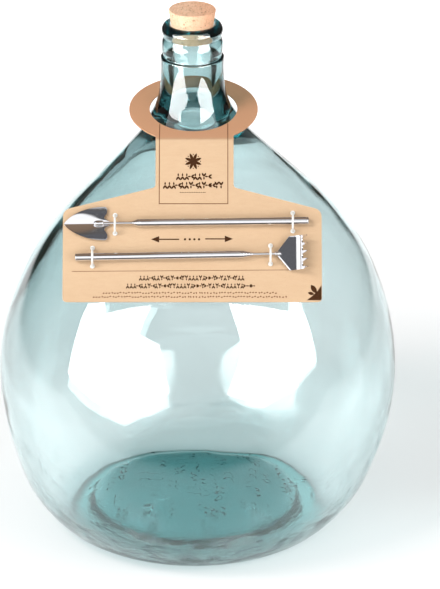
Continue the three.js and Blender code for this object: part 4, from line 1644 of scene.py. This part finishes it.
def makeFloorMaterial():
    material, shader, _ = newMaterial("paleFloor")
    tree = material.node_tree
    light = tree.nodes.new("ShaderNodeLightPath")
    radius = lengthOf(tree, objectSpot(tree))
    sideways = math2(tree, "ABSOLUTE", axisOf(tree, "X"))
    ahead = axisOf(tree, "Y")
    # what glass sees: dim beyond the sweep and in the middle, and light focused at its sides
    inGlass = product(tree, ranged(tree, radius, *studio["nearFloor"], 1.0, 0.0),
                      light.outputs["Is Transmission Ray"])
    aside = ranged(tree, sideways, *studio["asideFrom"])
    focused = product(tree, inGlass, aside, studio["focused"])
    behind = product(tree, math2(tree, "SUBTRACT", 1.0, aside),
                     ranged(tree, radius, *studio["behindFrom"]))
    middle = product(tree, inGlass, behind, studio["middleDim"])
    beyond = product(tree, ranged(tree, sideways, *studio["sweepHalf"]),
                     light.outputs["Is Transmission Ray"])
    dim = math2(tree, "MAXIMUM", beyond, middle)
    # what metal and the glass's own sheen see: a dark strip in front and dark sides
    strip = product(tree, ranged(tree, ahead, *studio["stripFar"]),
                    ranged(tree, ahead, *studio["stripNear"], 1.0, 0.0))
    outer = ranged(tree, sideways, *studio["glossHalf"])
    strip = product(tree, math2(tree, "MAXIMUM", strip, outer), light.outputs["Is Glossy Ray"])
    tree.links.new(mixed(tree, math2(tree, "MAXIMUM", dim, strip), studio["floorColour"],
                         studio["floorDark"]), shader.inputs["Base Color"])
    glow = ranged(tree, radius, *studio["glowFrom"], *studio["floorGlow"])
    unseen = math2(tree, "MAXIMUM", dim, light.outputs["Is Diffuse Ray"])
    kept = product(tree, glow, math2(tree, "SUBTRACT", 1.0, unseen),
                   math2(tree, "SUBTRACT", 1.0, strip))
    tree.links.new(math2(tree, "ADD", kept, focused), shader.inputs["Emission Strength"])
    shader.inputs["Emission Color"].default_value = (1, 1, 1, 1)
    shader.inputs["Roughness"].default_value = studio["floorRoughness"]
    shader.inputs["Specular IOR Level"].default_value = studio["floorSpecular"]
    return material


def makeFloor():
    half, cells = studio["floorSize"] / 2, studio["floorCells"]
    line = [half * (2 * i / cells - 1) for i in range(cells + 1)]
    points = [(x, y, studio["floorLevel"]) for y in line for x in line]
    row = cells + 1
    faces = [[j * row + i, j * row + i + 1, (j + 1) * row + i + 1, (j + 1) * row + i]
             for j in range(cells) for i in range(cells)]
    floor = objectFrom("studioFloor", meshFrom("studioFloor", points, faces), makeFloorMaterial())


def makeSoftbox(name, matt, glass, metal, corners):
    material = bpy.data.materials.new(name)
    material.use_nodes = True
    tree = material.node_tree
    tree.nodes.clear()
    output = tree.nodes.new("ShaderNodeOutputMaterial")
    gloss, _ = seenByGloss(tree)
    light = tree.nodes.new("ShaderNodeLightPath")  # only clear glass is perfectly sharp
    mirrored = ranged(tree, light.outputs["Is Singular Ray"], 0, 1, metal, glass)
    level = math2(tree, "ADD", product(tree, gloss, mirrored),
                  ranged(tree, gloss, 0, 1, matt, 0.0))
    glow = place(tree, "ShaderNodeEmission", Color=(1, 1, 1, 1), Strength=level)
    tree.links.new(glow.outputs[0], output.inputs["Surface"])
    points = [Vector(c) for c in corners]
    box = objectFrom(name, meshFrom(name, points, [list(range(len(points)))]), material)
    box.visible_camera = False
    box.visible_shadow = matt > 0  # the tops only show in glass and metal
    box.visible_diffuse = matt > 0


def makeKeyLight():
    key = studio["key"]
    data = bpy.data.lights.new("keyLight", "AREA")
    data.size = key["size"]
    data.energy = key["power"]
    light = bpy.data.objects.new("keyLight", data)
    scene.collection.objects.link(light)
    light.location = key["at"]
    light.rotation_euler = (Vector(key["aim"]) - light.location).to_track_quat("-Z", "Y").to_euler()
    light.visible_camera = False
    light.visible_glossy = False  # only matt surfaces take light from it
    light.visible_transmission = False


def makeWorld():
    world = bpy.data.worlds.new("dimRoom")
    scene.world = world
    world.use_nodes = True
    tree = world.node_tree
    tree.nodes.clear()
    spot = tree.nodes.new("ShaderNodeTexCoord")
    way = place(tree, "ShaderNodeSeparateXYZ", Vector=spot.outputs["Generated"])
    ahead, up = way.outputs["Y"], way.outputs["Z"]
    side = math2(tree, "ABSOLUTE", way.outputs["X"])
    ramp = tree.nodes.new("ShaderNodeValToRGB")
    tree.links.new(up, ramp.inputs["Fac"])
    stops = studio["room"]
    while len(ramp.color_ramp.elements) < len(stops):
        ramp.color_ramp.elements.new(0.5)
    for element, (at, colour) in zip(ramp.color_ramp.elements, stops):
        element.position = at
        element.color = colour
    front = product(tree, ranged(tree, product(tree, ahead, -1.0), *studio["frontSide"]),
                    ranged(tree, up, *studio["frontTop"], 1.0, 0.0))
    room = mixed(tree, front, ramp.outputs["Color"], studio["frontWall"])
    light = tree.nodes.new("ShaderNodeLightPath")
    behind = product(tree, ranged(tree, ahead, *studio["backSide"]),
                     ranged(tree, up, *studio["backTop"], 1.0, 0.0),
                     ranged(tree, side, *studio["backMiddle"]), light.outputs["Is Transmission Ray"])
    room = mixed(tree, behind, room, studio["backWall"])
    gloss, camera = seenByGloss(tree)
    lit = mixed(tree, gloss, studio["fill"], room)
    seen = mixed(tree, camera, lit, studio["backdrop"])
    back = place(tree, "ShaderNodeBackground", Color=seen, Strength=1.0)
    output = tree.nodes.new("ShaderNodeOutputWorld")
    tree.links.new(back.outputs[0], output.inputs["Surface"])


def makeCamera():
    view = studio["camera"]
    data = bpy.data.cameras.new("studioCamera")
    data.lens = view["lens"]
    data.sensor_width = view["sensor"]
    data.clip_start, data.clip_end = view["clip"]
    camera = bpy.data.objects.new("studioCamera", data)
    scene.collection.objects.link(camera)
    camera.location = view["at"]
    camera.rotation_euler = (math.radians(90 - view["down"]), 0, 0)
    scene.camera = camera


makeFloor()
for boxName, settings in studio["softboxes"].items():
    makeSoftbox(boxName, *settings)
makeKeyLight()
makeWorld()
makeCamera()
scene.view_settings.view_transform = "Standard"
scene.cycles.max_bounces = 18
scene.cycles.transmission_bounces = 18
scene.cycles.transparent_max_bounces = 24
scene.cycles.glossy_bounces = 8
print("studio made")
